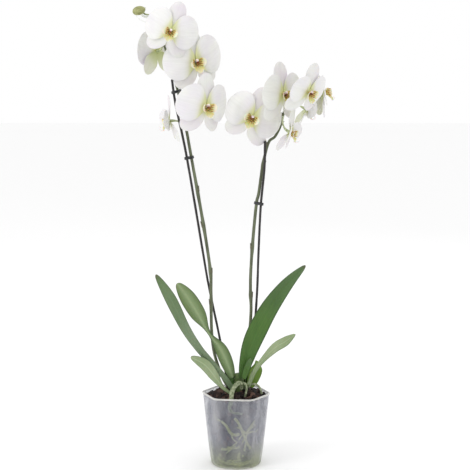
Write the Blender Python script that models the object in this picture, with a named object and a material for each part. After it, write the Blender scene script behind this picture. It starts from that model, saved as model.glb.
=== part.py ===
"""A potted moth orchid: clear hexagonal pot, bark, roots, leaves, two staked flower spikes and their flowers.

Metres, +Z up. The origin is the middle of the pot's flat bottom. The plant's own points are in millimetres
from the middle of the rim plane, so the plant follows the pot when its height changes.
"""

import math

import bmesh
import bpy
from mathutils import Matrix, Vector

MM = 0.001
GAP = 0.3  # mm of air between pieces that touch in life

# Pot, mm
POT_HEIGHT = 124.0
RIM_HALF_WIDTH = 59.0
RIM_HALF_DEPTH = 46.0
RIM_FRONT_HALF = 31.5
CORNER_SHARPNESS = 18.0
BASE_RADIUS = 42.0
BASE_CHAMFER = 3.0
POT_WALL = 1.2
POT_FLOOR = 1.8
WALL_FULL_SHARE = 0.3  # the wall has thinned to POT_WALL at this share of the height
WALL_SHARES = (WALL_FULL_SHARE, 0.6, 0.85)  # heights at which the wall has a ring of points
MORPH_POWER = 0.8  # how early on the way up the round foot becomes the hexagon
WALL_CLEAR = 0.6  # between the wall and the roots behind it
RIM_BEAD = 1.2
RIM_BEAD_HEIGHT = 3.0
POT_TURN = math.radians(-5.5)
DRAIN_SLOTS = 6
DRAIN_SLOT_WIDTH = 3.4
DRAIN_SLOT_LENGTH = 15.0
DRAIN_SLOT_MIDDLE = 24.0

# Bark
BARK_HEADSPACE = 11.0
BARK_CROWN_RISE = 13.0
BARK_LUMP = 2.2
BARK_RINGS = 6

# Plant
CROWN_RADIUS = 8.5
STEM_RADIUS = 2.7
STEM_TIP_RADIUS = 1.5
STAKE_RADIUS = 2.0
STAKE_DEPTH = 96.0
LEAF_THICKNESS = 1.7
LEAF_ACROSS = 4
LEAF_FOLD = 0.22
LEAF_TIP_START = 0.78
LEAF_TIP_LEAST = 0.12
PALE_LEAVES = ("leaf_left_small", "leaf_right_inner")
ROOT_RADIUS = 3.6
POT_ROOT_RADIUS = 2.5
ROOT_TABLE_HEIGHT = 124.0  # the pot height that the tables of roots inside the pot were laid out for
ROOT_TABLE_RADIUS = 2.5  # and the root radius: a root that crosses another stands off by more than two of them
ROOM = GAP + 0.1  # air round whatever passes through the bark

# Clips that hold stem to stake, mm above the rim
CLIP_HEIGHTS = {"clip_left": 400, "clip_left_top": 509, "clip_right": 322}
CLIP_HEIGHT = 4.5
CLIP_WALL = 1.1
CLIP_SLACK = 0.7
CLIP_EAR = 6.5
CLIP_STEPS = 16
CLIP_PROBE = 10.0  # how far above the clip its stem's direction is read

# Flowers, mm
HUB_RADIUS = 3.2
TEPAL_THICKNESS = 0.9
PETAL_LENGTH = 43.0
PETAL_HALF_WIDTH = 29.0
SEPAL_LENGTH = 48.0
SEPAL_HALF_WIDTH = 15.5
LIP_LENGTH = 19.0
PEDICEL_RADIUS = 1.5
PEDICEL_REACH = 16.0  # how far a pedicel runs straight back from its flower before it bends to the spike
JOINT_PROBE = 3.0
LEAST_SQUARE = 0.1
SWEEP = 0.0088  # per mm: how far back the flower curves, by the square of the way out from its middle
CUPPED_SEPAL_SWEEP = 0.4  # a half-open flower's sepals curve back less

POT_SIDES = 36
TUBE_SIDES = 8
BUD_SIDES = 10

COLOURS = {
    "clear_plastic": ((0.62, 0.63, 0.62, 0.45), 0.25),
    "bark": ((0.055, 0.028, 0.022, 1.0), 0.9),
    "leaf_green": ((0.10, 0.22, 0.06, 1.0), 0.4),
    "leaf_underside": ((0.22, 0.33, 0.13, 1.0), 0.5),
    "root_skin": ((0.30, 0.36, 0.20, 1.0), 0.8),
    "stem_green": ((0.13, 0.17, 0.07, 1.0), 0.5),
    "stake_dark": ((0.05, 0.045, 0.04, 1.0), 0.6),
    "clip_plastic": ((0.04, 0.045, 0.04, 1.0), 0.4),
    "petal_white": ((0.86, 0.86, 0.83, 1.0), 0.55),
    "lip_yellow": ((0.72, 0.52, 0.10, 1.0), 0.5),
    "bud_green": ((0.33, 0.36, 0.13, 1.0), 0.5),
}


def material(name):
    found = bpy.data.materials.get(name)
    if found:
        return found
    colour, roughness = COLOURS[name]
    made = bpy.data.materials.new(name)
    made.use_nodes = True
    shader = made.node_tree.nodes["Principled BSDF"]
    shader.inputs["Base Color"].default_value = colour[:3] + (1.0,)
    shader.inputs["Roughness"].default_value = roughness
    shader.inputs["Metallic"].default_value = 0.0
    shader.inputs["Alpha"].default_value = colour[3]
    made.diffuse_color = colour
    return made


def add_object(name, bm, material_name, smooth=True):
    """Turns a bmesh in millimetres into a named object in metres."""
    bmesh.ops.recalc_face_normals(bm, faces=bm.faces)
    if bm.calc_volume(signed=True) < 0:
        bmesh.ops.reverse_faces(bm, faces=bm.faces)
    bmesh.ops.scale(bm, vec=(MM, MM, MM), verts=bm.verts)
    mesh = bpy.data.meshes.new(name)
    bm.to_mesh(mesh)
    bm.free()
    mesh.materials.append(material(material_name))
    if smooth:
        mesh.shade_smooth()
        mesh.set_sharp_from_angle(angle=math.radians(40))
    obj = bpy.data.objects.new(name, mesh)
    bpy.context.scene.collection.objects.link(obj)
    return obj


def hide_as_cutter(obj):
    obj.hide_render = True
    obj.display_type = "WIRE"


def cut(obj, cutters, name):
    """Takes every cutter in the list away from obj with one exact Boolean."""
    group = bpy.data.collections.new(name)
    for cutter in cutters:
        group.objects.link(cutter)
        hide_as_cutter(cutter)
    boolean = obj.modifiers.new(name, "BOOLEAN")
    boolean.operation = "DIFFERENCE"
    boolean.operand_type = "COLLECTION"
    boolean.collection = group
    boolean.solver = "EXACT"


def lerp(a, b, share):
    return a + (b - a) * share


def smooth_path(points, steps):
    """Points along a Catmull-Rom curve through the given ones; each point is a tuple of any length."""
    path = []
    last = len(points) - 1
    for i in range(last):
        before = points[max(i - 1, 0)]
        after = points[min(i + 2, last)]
        for k in range(steps):
            t = k / steps
            weights = (
                (-(t**3) + 2 * t * t - t) / 2,
                (3 * t**3 - 5 * t * t + 2) / 2,
                (-3 * t**3 + 4 * t * t + t) / 2,
                (t**3 - t * t) / 2,
            )
            corners = zip(before, points[i], points[i + 1], after)
            path.append(tuple(sum(w * v for w, v in zip(weights, corner)) for corner in corners))
    path.append(tuple(points[last]))
    return path


def tube(path, sides=TUBE_SIDES):
    """A closed round tube along (x, y, z, radius) points, its rings turned as little as possible."""
    bm = bmesh.new()
    centres = [Vector(p[:3]) for p in path]
    across = None
    rings = []
    for i, centre in enumerate(centres):
        ahead = centres[min(i + 1, len(centres) - 1)] - centres[max(i - 1, 0)]
        ahead.normalize()
        if across is None:
            across = ahead.orthogonal().normalized()
        across = (across - ahead * across.dot(ahead)).normalized()
        up = ahead.cross(across)
        ring = []
        for k in range(sides):
            angle = 2 * math.pi * k / sides
            spoke = across * math.cos(angle) + up * math.sin(angle)
            ring.append(bm.verts.new(centre + spoke * path[i][3]))
        rings.append(ring)
    for near, far in zip(rings, rings[1:]):
        for k in range(sides):
            n = (k + 1) % sides
            bm.faces.new((near[k], near[n], far[n], far[k]))
    bm.faces.new(reversed(rings[0]))
    bm.faces.new(rings[-1])
    return bm


# ---------------------------------------------------------------- pot


def rim_radius(angle):
    """Distance from the axis to the long hexagon's side at this angle, with its corners rounded."""
    slant = math.hypot(RIM_HALF_WIDTH - RIM_FRONT_HALF, RIM_HALF_DEPTH)
    slant_distance = RIM_HALF_WIDTH * RIM_HALF_DEPTH / slant
    slant_angle = math.atan2(RIM_HALF_WIDTH - RIM_FRONT_HALF, RIM_HALF_DEPTH)
    sides = [(RIM_HALF_DEPTH, math.pi / 2), (RIM_HALF_DEPTH, -math.pi / 2)]
    for turn in (slant_angle, -slant_angle, math.pi - slant_angle, math.pi + slant_angle):
        sides.append((slant_distance, turn))
    total = 0.0
    for distance, turn in sides:
        total += (max(math.cos(angle - turn), 0.0) / distance) ** CORNER_SHARPNESS
    return total ** (-1 / CORNER_SHARPNESS)


def pot_point(angle, z, inset=0.0):
    """A point at this angle and height, the inset inside the pot's outer wall."""
    share = min(max(z / POT_HEIGHT, 0.0), 1.0)
    morph = share**MORPH_POWER
    radius = lerp(BASE_RADIUS, rim_radius(angle), morph) - inset
    turned = angle + POT_TURN
    return (radius * math.cos(turned), radius * math.sin(turned), z)


def wall_inset(z):
    """How far the inside of the wall lies behind the outside: more beside the floor, where the wall thickens."""
    above_floor = (z - POT_FLOOR) / (POT_HEIGHT * WALL_FULL_SHARE - POT_FLOOR)
    return POT_WALL + BASE_CHAMFER * min(max(1 - above_floor, 0.0), 1.0)


def add_ring(bm, z, inset, sides=POT_SIDES):
    return [bm.verts.new(pot_point(2 * math.pi * k / sides, z, inset)) for k in range(sides)]


def join_rings(bm, rings):
    for near, far in zip(rings, rings[1:]):
        for k in range(len(near)):
            n = (k + 1) % len(near)
            bm.faces.new((near[k], near[n], far[n], far[k]))


def drain_slot_cutter(number):
    bm = bmesh.new()
    bmesh.ops.create_cube(bm, size=1.0)
    bmesh.ops.scale(bm, vec=(DRAIN_SLOT_LENGTH, DRAIN_SLOT_WIDTH, POT_FLOOR * 4), verts=bm.verts)
    bmesh.ops.translate(bm, vec=(DRAIN_SLOT_MIDDLE, 0, 0), verts=bm.verts)
    turn = Matrix.Rotation(2 * math.pi * number / DRAIN_SLOTS, 3, "Z")
    bmesh.ops.rotate(bm, matrix=turn, verts=bm.verts)
    return add_object(f"drain_slot_cutter_{number}", bm, "clear_plastic", smooth=False)


def build_pot():
    bm = bmesh.new()
    under_bead = POT_HEIGHT - RIM_BEAD_HEIGHT
    outer = [(0.0, BASE_CHAMFER), (BASE_CHAMFER, 0.0)]
    outer += [(POT_HEIGHT * share, 0.0) for share in WALL_SHARES]
    outer += [(under_bead, 0.0), (under_bead + RIM_BEAD / 2, -RIM_BEAD), (POT_HEIGHT, -RIM_BEAD)]
    inner = [(POT_HEIGHT, POT_WALL)]
    inner += [(POT_HEIGHT * share, POT_WALL) for share in reversed(WALL_SHARES)]
    inner.append((POT_FLOOR, POT_WALL + BASE_CHAMFER))
    rings = [add_ring(bm, z, inset) for z, inset in outer + inner]
    join_rings(bm, rings)
    bm.faces.new(reversed(rings[0]))
    bm.faces.new(rings[-1])
    pot = add_object("pot", bm, "clear_plastic")
    cut(pot, [drain_slot_cutter(n) for n in range(DRAIN_SLOTS)], "drain_slots")


# ---------------------------------------------------------------- bark and roots


def above_rim(point):
    """A plant point, measured from the middle of the rim plane, in the pot's frame."""
    return (point[0], point[1], point[2] + POT_HEIGHT) + tuple(point[3:])


def bark_height(x, y):
    """Height of the bark: low along the rim, heaped round the crown, and uneven."""
    reach = math.hypot(x / RIM_HALF_WIDTH, y / RIM_HALF_DEPTH)
    heap = BARK_CROWN_RISE * max(0.0, 1 - reach * reach)
    lumps = BARK_LUMP * math.sin(0.23 * x + 1.0) * math.cos(0.27 * y - 0.4)
    return POT_HEIGHT - BARK_HEADSPACE + heap + lumps


def add_bark_top(bm, outline, steps):
    rings = [outline]
    for step in range(1, steps):
        share = 1 - step / steps
        ring = []
        for vert in outline:
            x = vert.co.x * share
            y = vert.co.y * share
            ring.append(bm.verts.new((x, y, bark_height(x, y))))
        rings.append(ring)
    join_rings(bm, rings)
    middle = bm.verts.new((0, 0, bark_height(0, 0)))
    last = rings[-1]
    for k in range(len(last)):
        bm.faces.new((last[k], last[(k + 1) % len(last)], middle))


def build_bark(cutters):
    sides = POT_SIDES // 2
    bm = bmesh.new()
    bottom = POT_FLOOR + GAP
    clear = POT_WALL + WALL_CLEAR + POT_ROOT_RADIUS
    thin = POT_HEIGHT * WALL_FULL_SHARE
    levels = [(bottom, clear + BASE_CHAMFER), (thin, clear), (POT_HEIGHT * WALL_SHARES[1], clear)]
    rings = [add_ring(bm, z, inset, sides) for z, inset in levels]
    top = []
    for k in range(sides):
        x, y, _ = pot_point(2 * math.pi * k / sides, POT_HEIGHT - BARK_HEADSPACE, clear)
        top.append(bm.verts.new((x, y, bark_height(x, y))))
    join_rings(bm, rings + [top])
    bm.faces.new(reversed(rings[0]))
    add_bark_top(bm, top, BARK_RINGS)
    bark = add_object("bark_bed", bm, "bark")
    cut(bark, cutters, "rooms_in_bark")


def wall_path(points, radius, steps=2):
    """A root's path along the pot's inside: (angle in degrees, height, depth behind the wall) points."""
    path = []
    for angle, z, depth in smooth_path(points, steps):
        z *= POT_HEIGHT / ROOT_TABLE_HEIGHT
        inset = wall_inset(z) + WALL_CLEAR + radius + depth * radius / ROOT_TABLE_RADIUS
        path.append(pot_point(math.radians(angle) - POT_TURN, z, inset) + (radius,))
    return path


def grown_piece(name, path, material_name, room=ROOM, sides=TUBE_SIDES):
    """A tube and, hidden, the slightly larger tube that makes room for it in the bark."""
    add_object(name, tube(path, sides), material_name)
    wide = [point[:3] + (point[3] + room,) for point in path]
    first = Vector(wide[0][:3]) + (Vector(wide[0][:3]) - Vector(wide[1][:3])).normalized() * room
    last = Vector(wide[-1][:3]) + (Vector(wide[-1][:3]) - Vector(wide[-2][:3])).normalized() * room
    wide = [tuple(first) + (wide[0][3],)] + wide[1:-1] + [tuple(last) + (wide[-1][3],)]
    return add_object(name + "_room", tube(wide, sides), material_name)


def tapered_ends(path, share=0.35, first=True, last=True):
    path = list(path)
    if first:
        path[0] = path[0][:3] + (path[0][3] * share,)
    if last:
        path[-1] = path[-1][:3] + (path[-1][3] * share,)
    return path


# Roots that lie against the inside of the wall: angle in degrees, height and depth behind the wall, in mm.
POT_ROOTS = {
    "pot_root_left": [(236, 84, 0), (247, 76, 0), (257, 64, 0), (268, 60, 1), (279, 62, 2)],
    "pot_root_knot": [(266, 90, 0.5), (277, 80, 0), (287, 62, 0), (297, 44, 0), (306, 34, 0)],
    "pot_root_cross": [(318, 76, 0), (304, 68, 5.6), (288, 60, 6), (270, 44, 5.6), (250, 34, 3), (232, 34, 0)],
    "pot_root_down": [(290, 54, 12), (284, 40, 9), (279, 26, 4), (276, 17, 0)],
    "pot_root_base": [(212, 15, 1), (235, 10, 1), (262, 8, 1), (290, 9, 1), (315, 13, 1), (340, 18, 1)],
}


# The big aerial root: x, y, z above the rim, then (angle, height from the rim, depth) against the wall.
ARCH_ABOVE = [(9, -12, 8), (9, -20, 19), (4, -27, 23), (-3, -33, 17), (-7, -36, 8)]
ARCH_INSIDE = [(258, -7, 0), (254, -17, 0), (262, -24, 0), (275, -26, 0), (289, -27, 0)]
ARCH_RADII = [0.75, 0.9, 1.05, 1.1, 1.1, 1.0, 0.95, 0.8, 0.75, 0.6]
ARCH_WIDEST = 1.1
AERIAL_LOOPS = {
    "aerial_root_curl": [(12, -16, 20), (16, -22, 20), (18, -24, 14), (17, -24, 7), (15, -23, -4)],
    "aerial_root_side": [(20, -6, 9), (27, -9, 16), (35, -9, 15), (41, -7, 8), (44, -5, -4)],
}
LOOP_RADIUS_SHARE = 0.5


def arch_points():
    points = list(ARCH_ABOVE)
    for angle, z, depth in ARCH_INSIDE:
        z *= POT_HEIGHT / ROOT_TABLE_HEIGHT
        inset = POT_WALL + WALL_CLEAR + ROOT_RADIUS * ARCH_WIDEST + depth
        x, y, _ = pot_point(math.radians(angle) - POT_TURN, POT_HEIGHT + z, inset)
        points.append((x, y, z))
    return [point + (ROOT_RADIUS * share,) for point, share in zip(points, ARCH_RADII)]


def build_roots():
    rooms = []
    for name, points in POT_ROOTS.items():
        path = tapered_ends(wall_path(points, POT_ROOT_RADIUS))
        rooms.append(grown_piece(name, path, "root_skin"))
    path = [above_rim(point) for point in smooth_path(arch_points(), 3)]
    rooms.append(grown_piece("aerial_root_front", tapered_ends(path), "root_skin"))
    for name, points in AERIAL_LOOPS.items():
        radius = ROOT_RADIUS * LOOP_RADIUS_SHARE
        path = [above_rim(point + (radius,)) for point in smooth_path(points, 3)]
        rooms.append(grown_piece(name, tapered_ends(path), "root_skin", sides=6))
    return rooms


# ---------------------------------------------------------------- crown, spikes and stakes

CROWN = [(7, 2, -22), (6.5, 1, 0), (5.5, 1, 18), (5.5, 2, 33)]
STAKES = {
    "stake_left": [(5, 17), (-19, 13), (-27, 11), (-45, 8), (-51, 7), (-81, -2), (-99, -4), (-105, -4)],
    "stake_right": [(11, 24), (20, 22), (27, 21), (35, 17), (38, 13), (41.5, 8), (47, 3), (48, 3)],
}
STAKE_HEIGHTS = {
    "stake_left": (-STAKE_DEPTH, 38, 88, 178, 212, 399, 488, 530),
    "stake_right": (-STAKE_DEPTH, 28, 58, 158, 243, 321, 380, 428),
}
SPIKE_LEFT = [
    (-9, 4, 6),
    (-20, 3, 19),
    (-35, 2, 60),
    (-41, 1, 104),
    (-42, 0, 175),
    (-43, 0, 210),
    (-54, 0, 286),
    (-73.5, 1, 398),
    (-85, 3, 463),
    (-95, 6, 507),
    (-105, 10, 541),
    (-118, 14, 584),
    (-131, 14, 613),
    (-143, 12, 632),
]
SPIKE_RIGHT = [
    (13, 13, 14),
    (18, 15, 50),
    (22, 18, 88),
    (25.5, 19, 137),
    (24.5, 17, 174),
    (25, 15, 208),
    (28.5, 12, 262),
    (34, 8, 322),
    (38, 10, 340),
    (45, 12, 388),
    (54, 14, 424),
    (65, 18, 434),
    (75, 26, 453),
    (81.5, 31, 478),
    (93, 36, 485),
    (106, 39, 491),
    (119, 39, 495),
    (130, 35, 498),
]
SPIKE_NODES = {"spike_left": (154, 286, 346, 208), "spike_right": (247, 163, 388)}
NODE_SWELL = 0.35
NODE_REACH = 7.0


def stem_radius(share, height, nodes):
    """Tapers from base to tip and swells a little at each node."""
    radius = lerp(STEM_RADIUS, STEM_TIP_RADIUS, max(0.0, share - 0.5) * 2)
    swell = max(math.exp(-(((height - node) / NODE_REACH) ** 2)) for node in nodes)
    return radius * (1 + NODE_SWELL * swell)


def spike_path(name, points):
    path = smooth_path(points, 2)
    last = len(path) - 1
    nodes = SPIKE_NODES[name]
    return [above_rim(p + (stem_radius(i / last, p[2], nodes),)) for i, p in enumerate(path)]


def stake_path(name):
    heights = STAKE_HEIGHTS[name]
    points = [(x, y, z, STAKE_RADIUS) for (x, y), z in zip(STAKES[name], heights)]
    return [above_rim(p) for p in smooth_path(points, 2)]


def build_crown():
    path = [above_rim(point + (CROWN_RADIUS,)) for point in CROWN]
    path[0] = path[0][:3] + (CROWN_RADIUS * 0.6,)
    path[-1] = path[-1][:3] + (CROWN_RADIUS * 0.7,)
    return grown_piece("crown", smooth_path(path, 2), "stem_green", sides=12)


def build_spikes_and_stakes():
    rooms = []
    for name, points in (("spike_left", SPIKE_LEFT), ("spike_right", SPIKE_RIGHT)):
        rooms.append(grown_piece(name, spike_path(name, points), "stem_green"))
    for name in STAKES:
        rooms.append(grown_piece(name, stake_path(name), "stake_dark"))
    return rooms


def at_height(path, height):
    """The (x, y, z, radius) point of the path at this height above the rim."""
    z = height + POT_HEIGHT
    for near, far in zip(path, path[1:]):
        if min(near[2], far[2]) <= z <= max(near[2], far[2]):
            share = (z - near[2]) / (far[2] - near[2])
            return [lerp(a, b, share) for a, b in zip(near, far)]
    return list(path[-1])


def build_clip(name, side):
    """A band that holds stem to stake, an oval ring with two finger tabs, square to the stem."""
    height = CLIP_HEIGHTS[name]
    stem_points = SPIKE_LEFT if side == "left" else SPIKE_RIGHT
    stem_line = spike_path("spike_" + side, stem_points)
    stem = at_height(stem_line, height)
    stake = at_height(stake_path("stake_" + side), height)
    over = at_height(stem_line, height + CLIP_PROBE)
    start = Vector(stake[:3])
    end = Vector(stem[:3])
    up = (Vector(over[:3]) - end).normalized()
    along = end - start
    along = (along - up * along.dot(up)).normalized()
    out = up.cross(along)
    half = (end - start).dot(along) / 2
    middle = start + along * half
    hold = max(stem[3], stake[3]) + CLIP_SLACK
    bm = bmesh.new()
    rings = []
    for level, radius in ((0, hold), (1, hold), (1, hold + CLIP_WALL), (0, hold + CLIP_WALL)):
        ring = []
        for k in range(CLIP_STEPS):
            angle = 2 * math.pi * (k + 0.5) / CLIP_STEPS
            reach = half * (1 if math.cos(angle) > 0 else -1)
            a = reach + radius * math.cos(angle)
            b = radius * math.sin(angle)
            on_tab = radius > hold and k in (CLIP_STEPS // 4 - 1, CLIP_STEPS // 4)
            if on_tab:
                b += CLIP_EAR
            lift = (level - 0.5) * CLIP_HEIGHT
            ring.append(bm.verts.new(middle + along * a - out * b + up * lift))
        rings.append(ring)
    join_rings(bm, rings + [rings[0]])
    add_object(name, bm, "clip_plastic")


# ---------------------------------------------------------------- leaves

# Each leaf's midrib: x, y, z above the rim, half width, turn about the midrib in degrees; all lengths in mm.
LEAVES = {
    "leaf_left_long": [
        (-6, -11, 8, 4.5, 100),
        (-18, -16, 28, 4.8, 95),
        (-41, -27, 58, 5.5, 85),
        (-61, -37, 84, 6.3, 75),
        (-83, -49, 121, 8.0, 72),
        (-108, -61, 176, 9.8, 72),
        (-131, -67, 217, 7.0, 72),
    ],
    "leaf_left_high": [
        (-6, -4, 26, 6.0, 100),
        (-14, -7, 50, 10.5, 85),
        (-27, -10, 80, 10.5, 70),
        (-45, -12, 106, 3.6, 50),
        (-62, -14, 136, 13.0, 78),
        (-81, -18, 168, 13.8, 80),
        (-98, -22, 193, 10.0, 80),
    ],
    "leaf_left_small": [
        (-9, -17, 2, 3.0, 110),
        (-23, -24, 15, 3.5, 100),
        (-36, -32, 36, 8.0, 85),
        (-52, -39, 58, 9.5, 75),
        (-75, -48, 74, 6.0, 70),
    ],
    "leaf_right_big": [
        (11, -10, 26, 6.0, 85),
        (15, -9, 48, 10.5, 82),
        (24, -6, 80, 15.0, 80),
        (38, -2, 112, 16.8, 78),
        (58, 6, 147, 15.5, 76),
        (87, 18, 184, 11.0, 74),
        (118, 32, 213, 6.5, 72),
    ],
    "leaf_right_low": [
        (21, -11, 14, 3.5, 80),
        (30, -14, 38, 4.2, 75),
        (44, -20, 60, 5.0, 65),
        (65, -28, 84, 8.5, 62),
        (83, -34, 97, 8.5, 62),
        (98, -39, 110, 4.0, 62),
    ],
    "leaf_right_back": [
        (23, 3, 8, 6.0, 82),
        (29, 5, 22, 11.0, 82),
        (34, 8, 38, 12.0, 80),
        (35, 10, 52, 9.0, 78),
    ],
    "leaf_right_inner": [
        (13, -17, 27, 3.0, 85),
        (16, -17, 38, 5.0, 82),
        (20, -17, 50, 5.0, 80),
        (25, -16, 62, 3.5, 78),
    ],
}


def leaf_tip(share):
    """Rounds the end of a leaf: 1 until the tip starts, then down along a quarter ellipse."""
    past = max(0.0, share - LEAF_TIP_START) / (1 - LEAF_TIP_START)
    return max(math.sqrt(max(0.0, 1 - past * past)), LEAF_TIP_LEAST)


def build_leaf(name, points, steps=2):
    """A strap leaf: a strip swept along its midrib, folded up a little on both sides of it."""
    path = smooth_path(points, steps)
    bm = bmesh.new()
    rows = []
    for i, (x, y, z, half_width, turn) in enumerate(path):
        here = Vector((x, y, z + POT_HEIGHT))
        ahead = Vector(path[min(i + 1, len(path) - 1)][:3]) - Vector(path[max(i - 1, 0)][:3])
        ahead.normalize()
        level = ahead.cross(Vector((0, 0, 1))).normalized()
        side = Matrix.Rotation(math.radians(turn), 3, ahead) @ level
        face = side.cross(ahead)
        half_width *= leaf_tip(i / (len(path) - 1))
        row = []
        for k in range(LEAF_ACROSS + 1):
            t = 2 * k / LEAF_ACROSS - 1
            fold = LEAF_FOLD * abs(t) * half_width
            row.append(bm.verts.new(here + side * t * half_width + face * fold))
        rows.append(row)
    for near, far in zip(rows, rows[1:]):
        for k in range(LEAF_ACROSS):
            bm.faces.new((near[k], near[k + 1], far[k + 1], far[k]))
    bm.normal_update()
    bmesh.ops.solidify(bm, geom=bm.faces, thickness=LEAF_THICKNESS)
    add_object(name, bm, "leaf_underside" if name in PALE_LEAVES else "leaf_green")


# ---------------------------------------------------------------- flowers


def lobe_outline(s, t, waist, fullness):
    """Shares along and across a petal blade, for s from base to tip and t from edge to edge."""
    if s < 0.5:
        widen = math.sin(math.pi * s) ** fullness
        return s, t * lerp(waist, 1.0, widen)
    a = 2 * s - 1
    along = 0.5 + 0.5 * a * math.sqrt(1 - t * t / 2)
    return along, t * math.sqrt(1 - a * a / 2)


def add_lobe(bm, base, lobe, rows):
    """Grows one blade from a row of hub points, bending from its first lean to its last."""
    angle = math.radians(lobe["angle"])
    outward = Vector((math.cos(angle), math.sin(angle), 0))
    sideways = Vector((-math.sin(angle), math.cos(angle), 0))
    waist = HUB_RADIUS * math.sin(lobe["spread"]) / lobe["half_width"]
    across = len(base) - 1
    previous = base
    for row in range(1, rows + 1):
        s = row / rows
        current = []
        for k in range(across + 1):
            t = 2 * k / across - 1
            along, width = lobe_outline(s, t, waist, lobe["fullness"])
            first, last = (math.radians(a) for a in lobe["lean"])
            lean = lerp(first, last, along / 2)
            reach = HUB_RADIUS * math.cos(lobe["spread"]) + lobe["length"] * along * math.cos(lean)
            forward = lobe["length"] * along * math.sin(lean)
            edge = width * lobe["half_width"]
            forward += lobe["cup"] * width * width * math.sin(math.pi * min(along, 0.5))
            spot = outward * reach + sideways * edge
            spot.z = forward - lobe["sweep"] * spot.x**2
            current.append(bm.verts.new(spot))
        for k in range(across):
            bm.faces.new((previous[k], current[k], current[k + 1], previous[k + 1]))
        previous = current


def whorl(lobes, rows, across, forward):
    """A hub with blades round it, as one closed sheet. It faces +Z and starts at this forward place."""
    bm = bmesh.new()
    ring = []
    for lobe in lobes:
        base = []
        for k in range(across + 1):
            angle = math.radians(lobe["angle"]) + lobe["spread"] * (2 * k / across - 1)
            spot = (HUB_RADIUS * math.cos(angle), HUB_RADIUS * math.sin(angle), 0)
            base.append(bm.verts.new(spot))
        ring += base
        add_lobe(bm, base, lobe, rows)
    bm.faces.new(ring)
    bm.normal_update()
    bmesh.ops.solidify(bm, geom=bm.faces, thickness=TEPAL_THICKNESS)
    bmesh.ops.translate(bm, vec=(0, 0, forward), verts=bm.verts)
    return bm


def hub_face(bm, sign):
    """The hub's face that looks forward (+1) or backward (-1)."""
    many = [f for f in bm.faces if len(f.verts) > 4]
    return max(many, key=lambda f: sign * f.calc_center_median().z)


def grow_from_face(bm, face, path):
    """Draws a face out along (x, y, z, radius) points as a round stalk."""
    start = face.calc_center_median()
    ring = list(face.verts)
    angles = [math.atan2(v.co.y - start.y, v.co.x - start.x) for v in ring]
    centres = [start] + [Vector(p[:3]) for p in path]
    across = Vector((1, 0, 0))
    backward = centres[1].z < start.z
    bm.faces.remove(face)
    rings = [ring]
    for i, point in enumerate(path):
        ahead = (centres[min(i + 2, len(path))] - centres[i]).normalized()
        across = (across - ahead * across.dot(ahead)).normalized()
        up = across.cross(ahead) if backward else ahead.cross(across)
        spokes = [across * math.cos(angle) + up * math.sin(angle) for angle in angles]
        rings.append([bm.verts.new(Vector(point[:3]) + spoke * point[3]) for spoke in spokes])
    join_rings(bm, rings)
    bm.faces.new(rings[-1])


def sepal_lobes(size, sweep):
    spread = math.radians(38)
    shared = {"spread": spread, "fullness": 1.0, "lean": (-3, -12), "cup": -1.0, "sweep": sweep}
    length = SEPAL_LENGTH * size
    half_width = SEPAL_HALF_WIDTH * size
    return [
        dict(shared, angle=90, length=length, half_width=half_width),
        dict(shared, angle=231, length=length * 0.94, half_width=half_width * 0.95),
        dict(shared, angle=309, length=length * 0.94, half_width=half_width * 0.95),
    ]


def petal_lobes(size, sweep):
    shared = {"spread": math.radians(52), "fullness": 0.62, "lean": (8, 0), "cup": -1.0, "sweep": sweep}
    length = PETAL_LENGTH * size
    half_width = PETAL_HALF_WIDTH * size
    return [dict(shared, angle=a, length=length, half_width=half_width) for a in (13, 167)]


def lip_lobes(size):
    length = LIP_LENGTH * size
    side = {"spread": math.radians(30), "fullness": 0.8, "lean": (78, 50), "cup": 1.0, "sweep": 0.0}
    middle = {"spread": math.radians(32), "fullness": 0.7, "lean": (60, 10), "cup": 1.2, "sweep": 0.0}
    return [
        dict(side, angle=20, length=length * 0.75, half_width=5.5 * size),
        dict(side, angle=160, length=length * 0.75, half_width=5.5 * size),
        dict(middle, angle=270, length=length * 1.1, half_width=5.0 * size),
    ]


# x, y, z above the rim (mm), turn to the viewer's right, nod down, roll clockwise (degrees), size, the petals'
# share of it, their curve (1 swept back, below 0 cupped forward), and the height above the rim at which the
# pedicel leaves its spike.
FLOWERS = {
    "flower_left_1": (-104.5, -45, 610, -2, 4, 20, 0.98, 1.0, 1.0, 584),
    "flower_left_2": (-65.5, -17, 560, 22, 6, -12, 1.1, 1.05, 1.0, 541),
    "flower_left_3": (-48.5, -56, 490, 32, 4, 4, 1.08, 1.0, 1.0, 480),
    "flower_left_4": (-110, 12, 460, -80, 10, 0, 0.86, 0.7, -1.6, 455),
    "flower_left_5": (-131, 40, 574, -150, 0, 0, 0.97, 1.0, 1.0, 588),
    "flower_right_1": (26.5, -12, 468, -4, 4, 25, 1.08, 1.0, 1.0, 420),
    "flower_right_2": (76, -32, 508, 44, 0, -2, 1.06, 0.95, 0.35, 455),
    "flower_right_3": (116, -70, 515, 40, 22, 4, 0.95, 0.86, 0.6, 493),
    "flower_right_4": (143, 2, 508, 98, -10, 0, 0.98, 0.9, 0.6, 498),
    "flower_right_5": (117, 10, 480, 96, 20, 0, 0.82, 0.7, -1.6, 490),
    "flower_right_6": (88, -39, 447, 66, 16, 0, 0.8, 0.65, -1.6, 468),
}


def flower_frame(place):
    x, y, z, turn, nod, roll = place[:6]
    return (
        Matrix.Translation(above_rim((x, y, z)))
        @ Matrix.Rotation(math.radians(turn), 4, "Z")
        @ Matrix.Rotation(math.radians(nod), 4, "X")
        @ Matrix.Rotation(math.radians(roll), 4, "Y")
        @ Matrix.Rotation(math.radians(90), 4, "X")
    )


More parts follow.
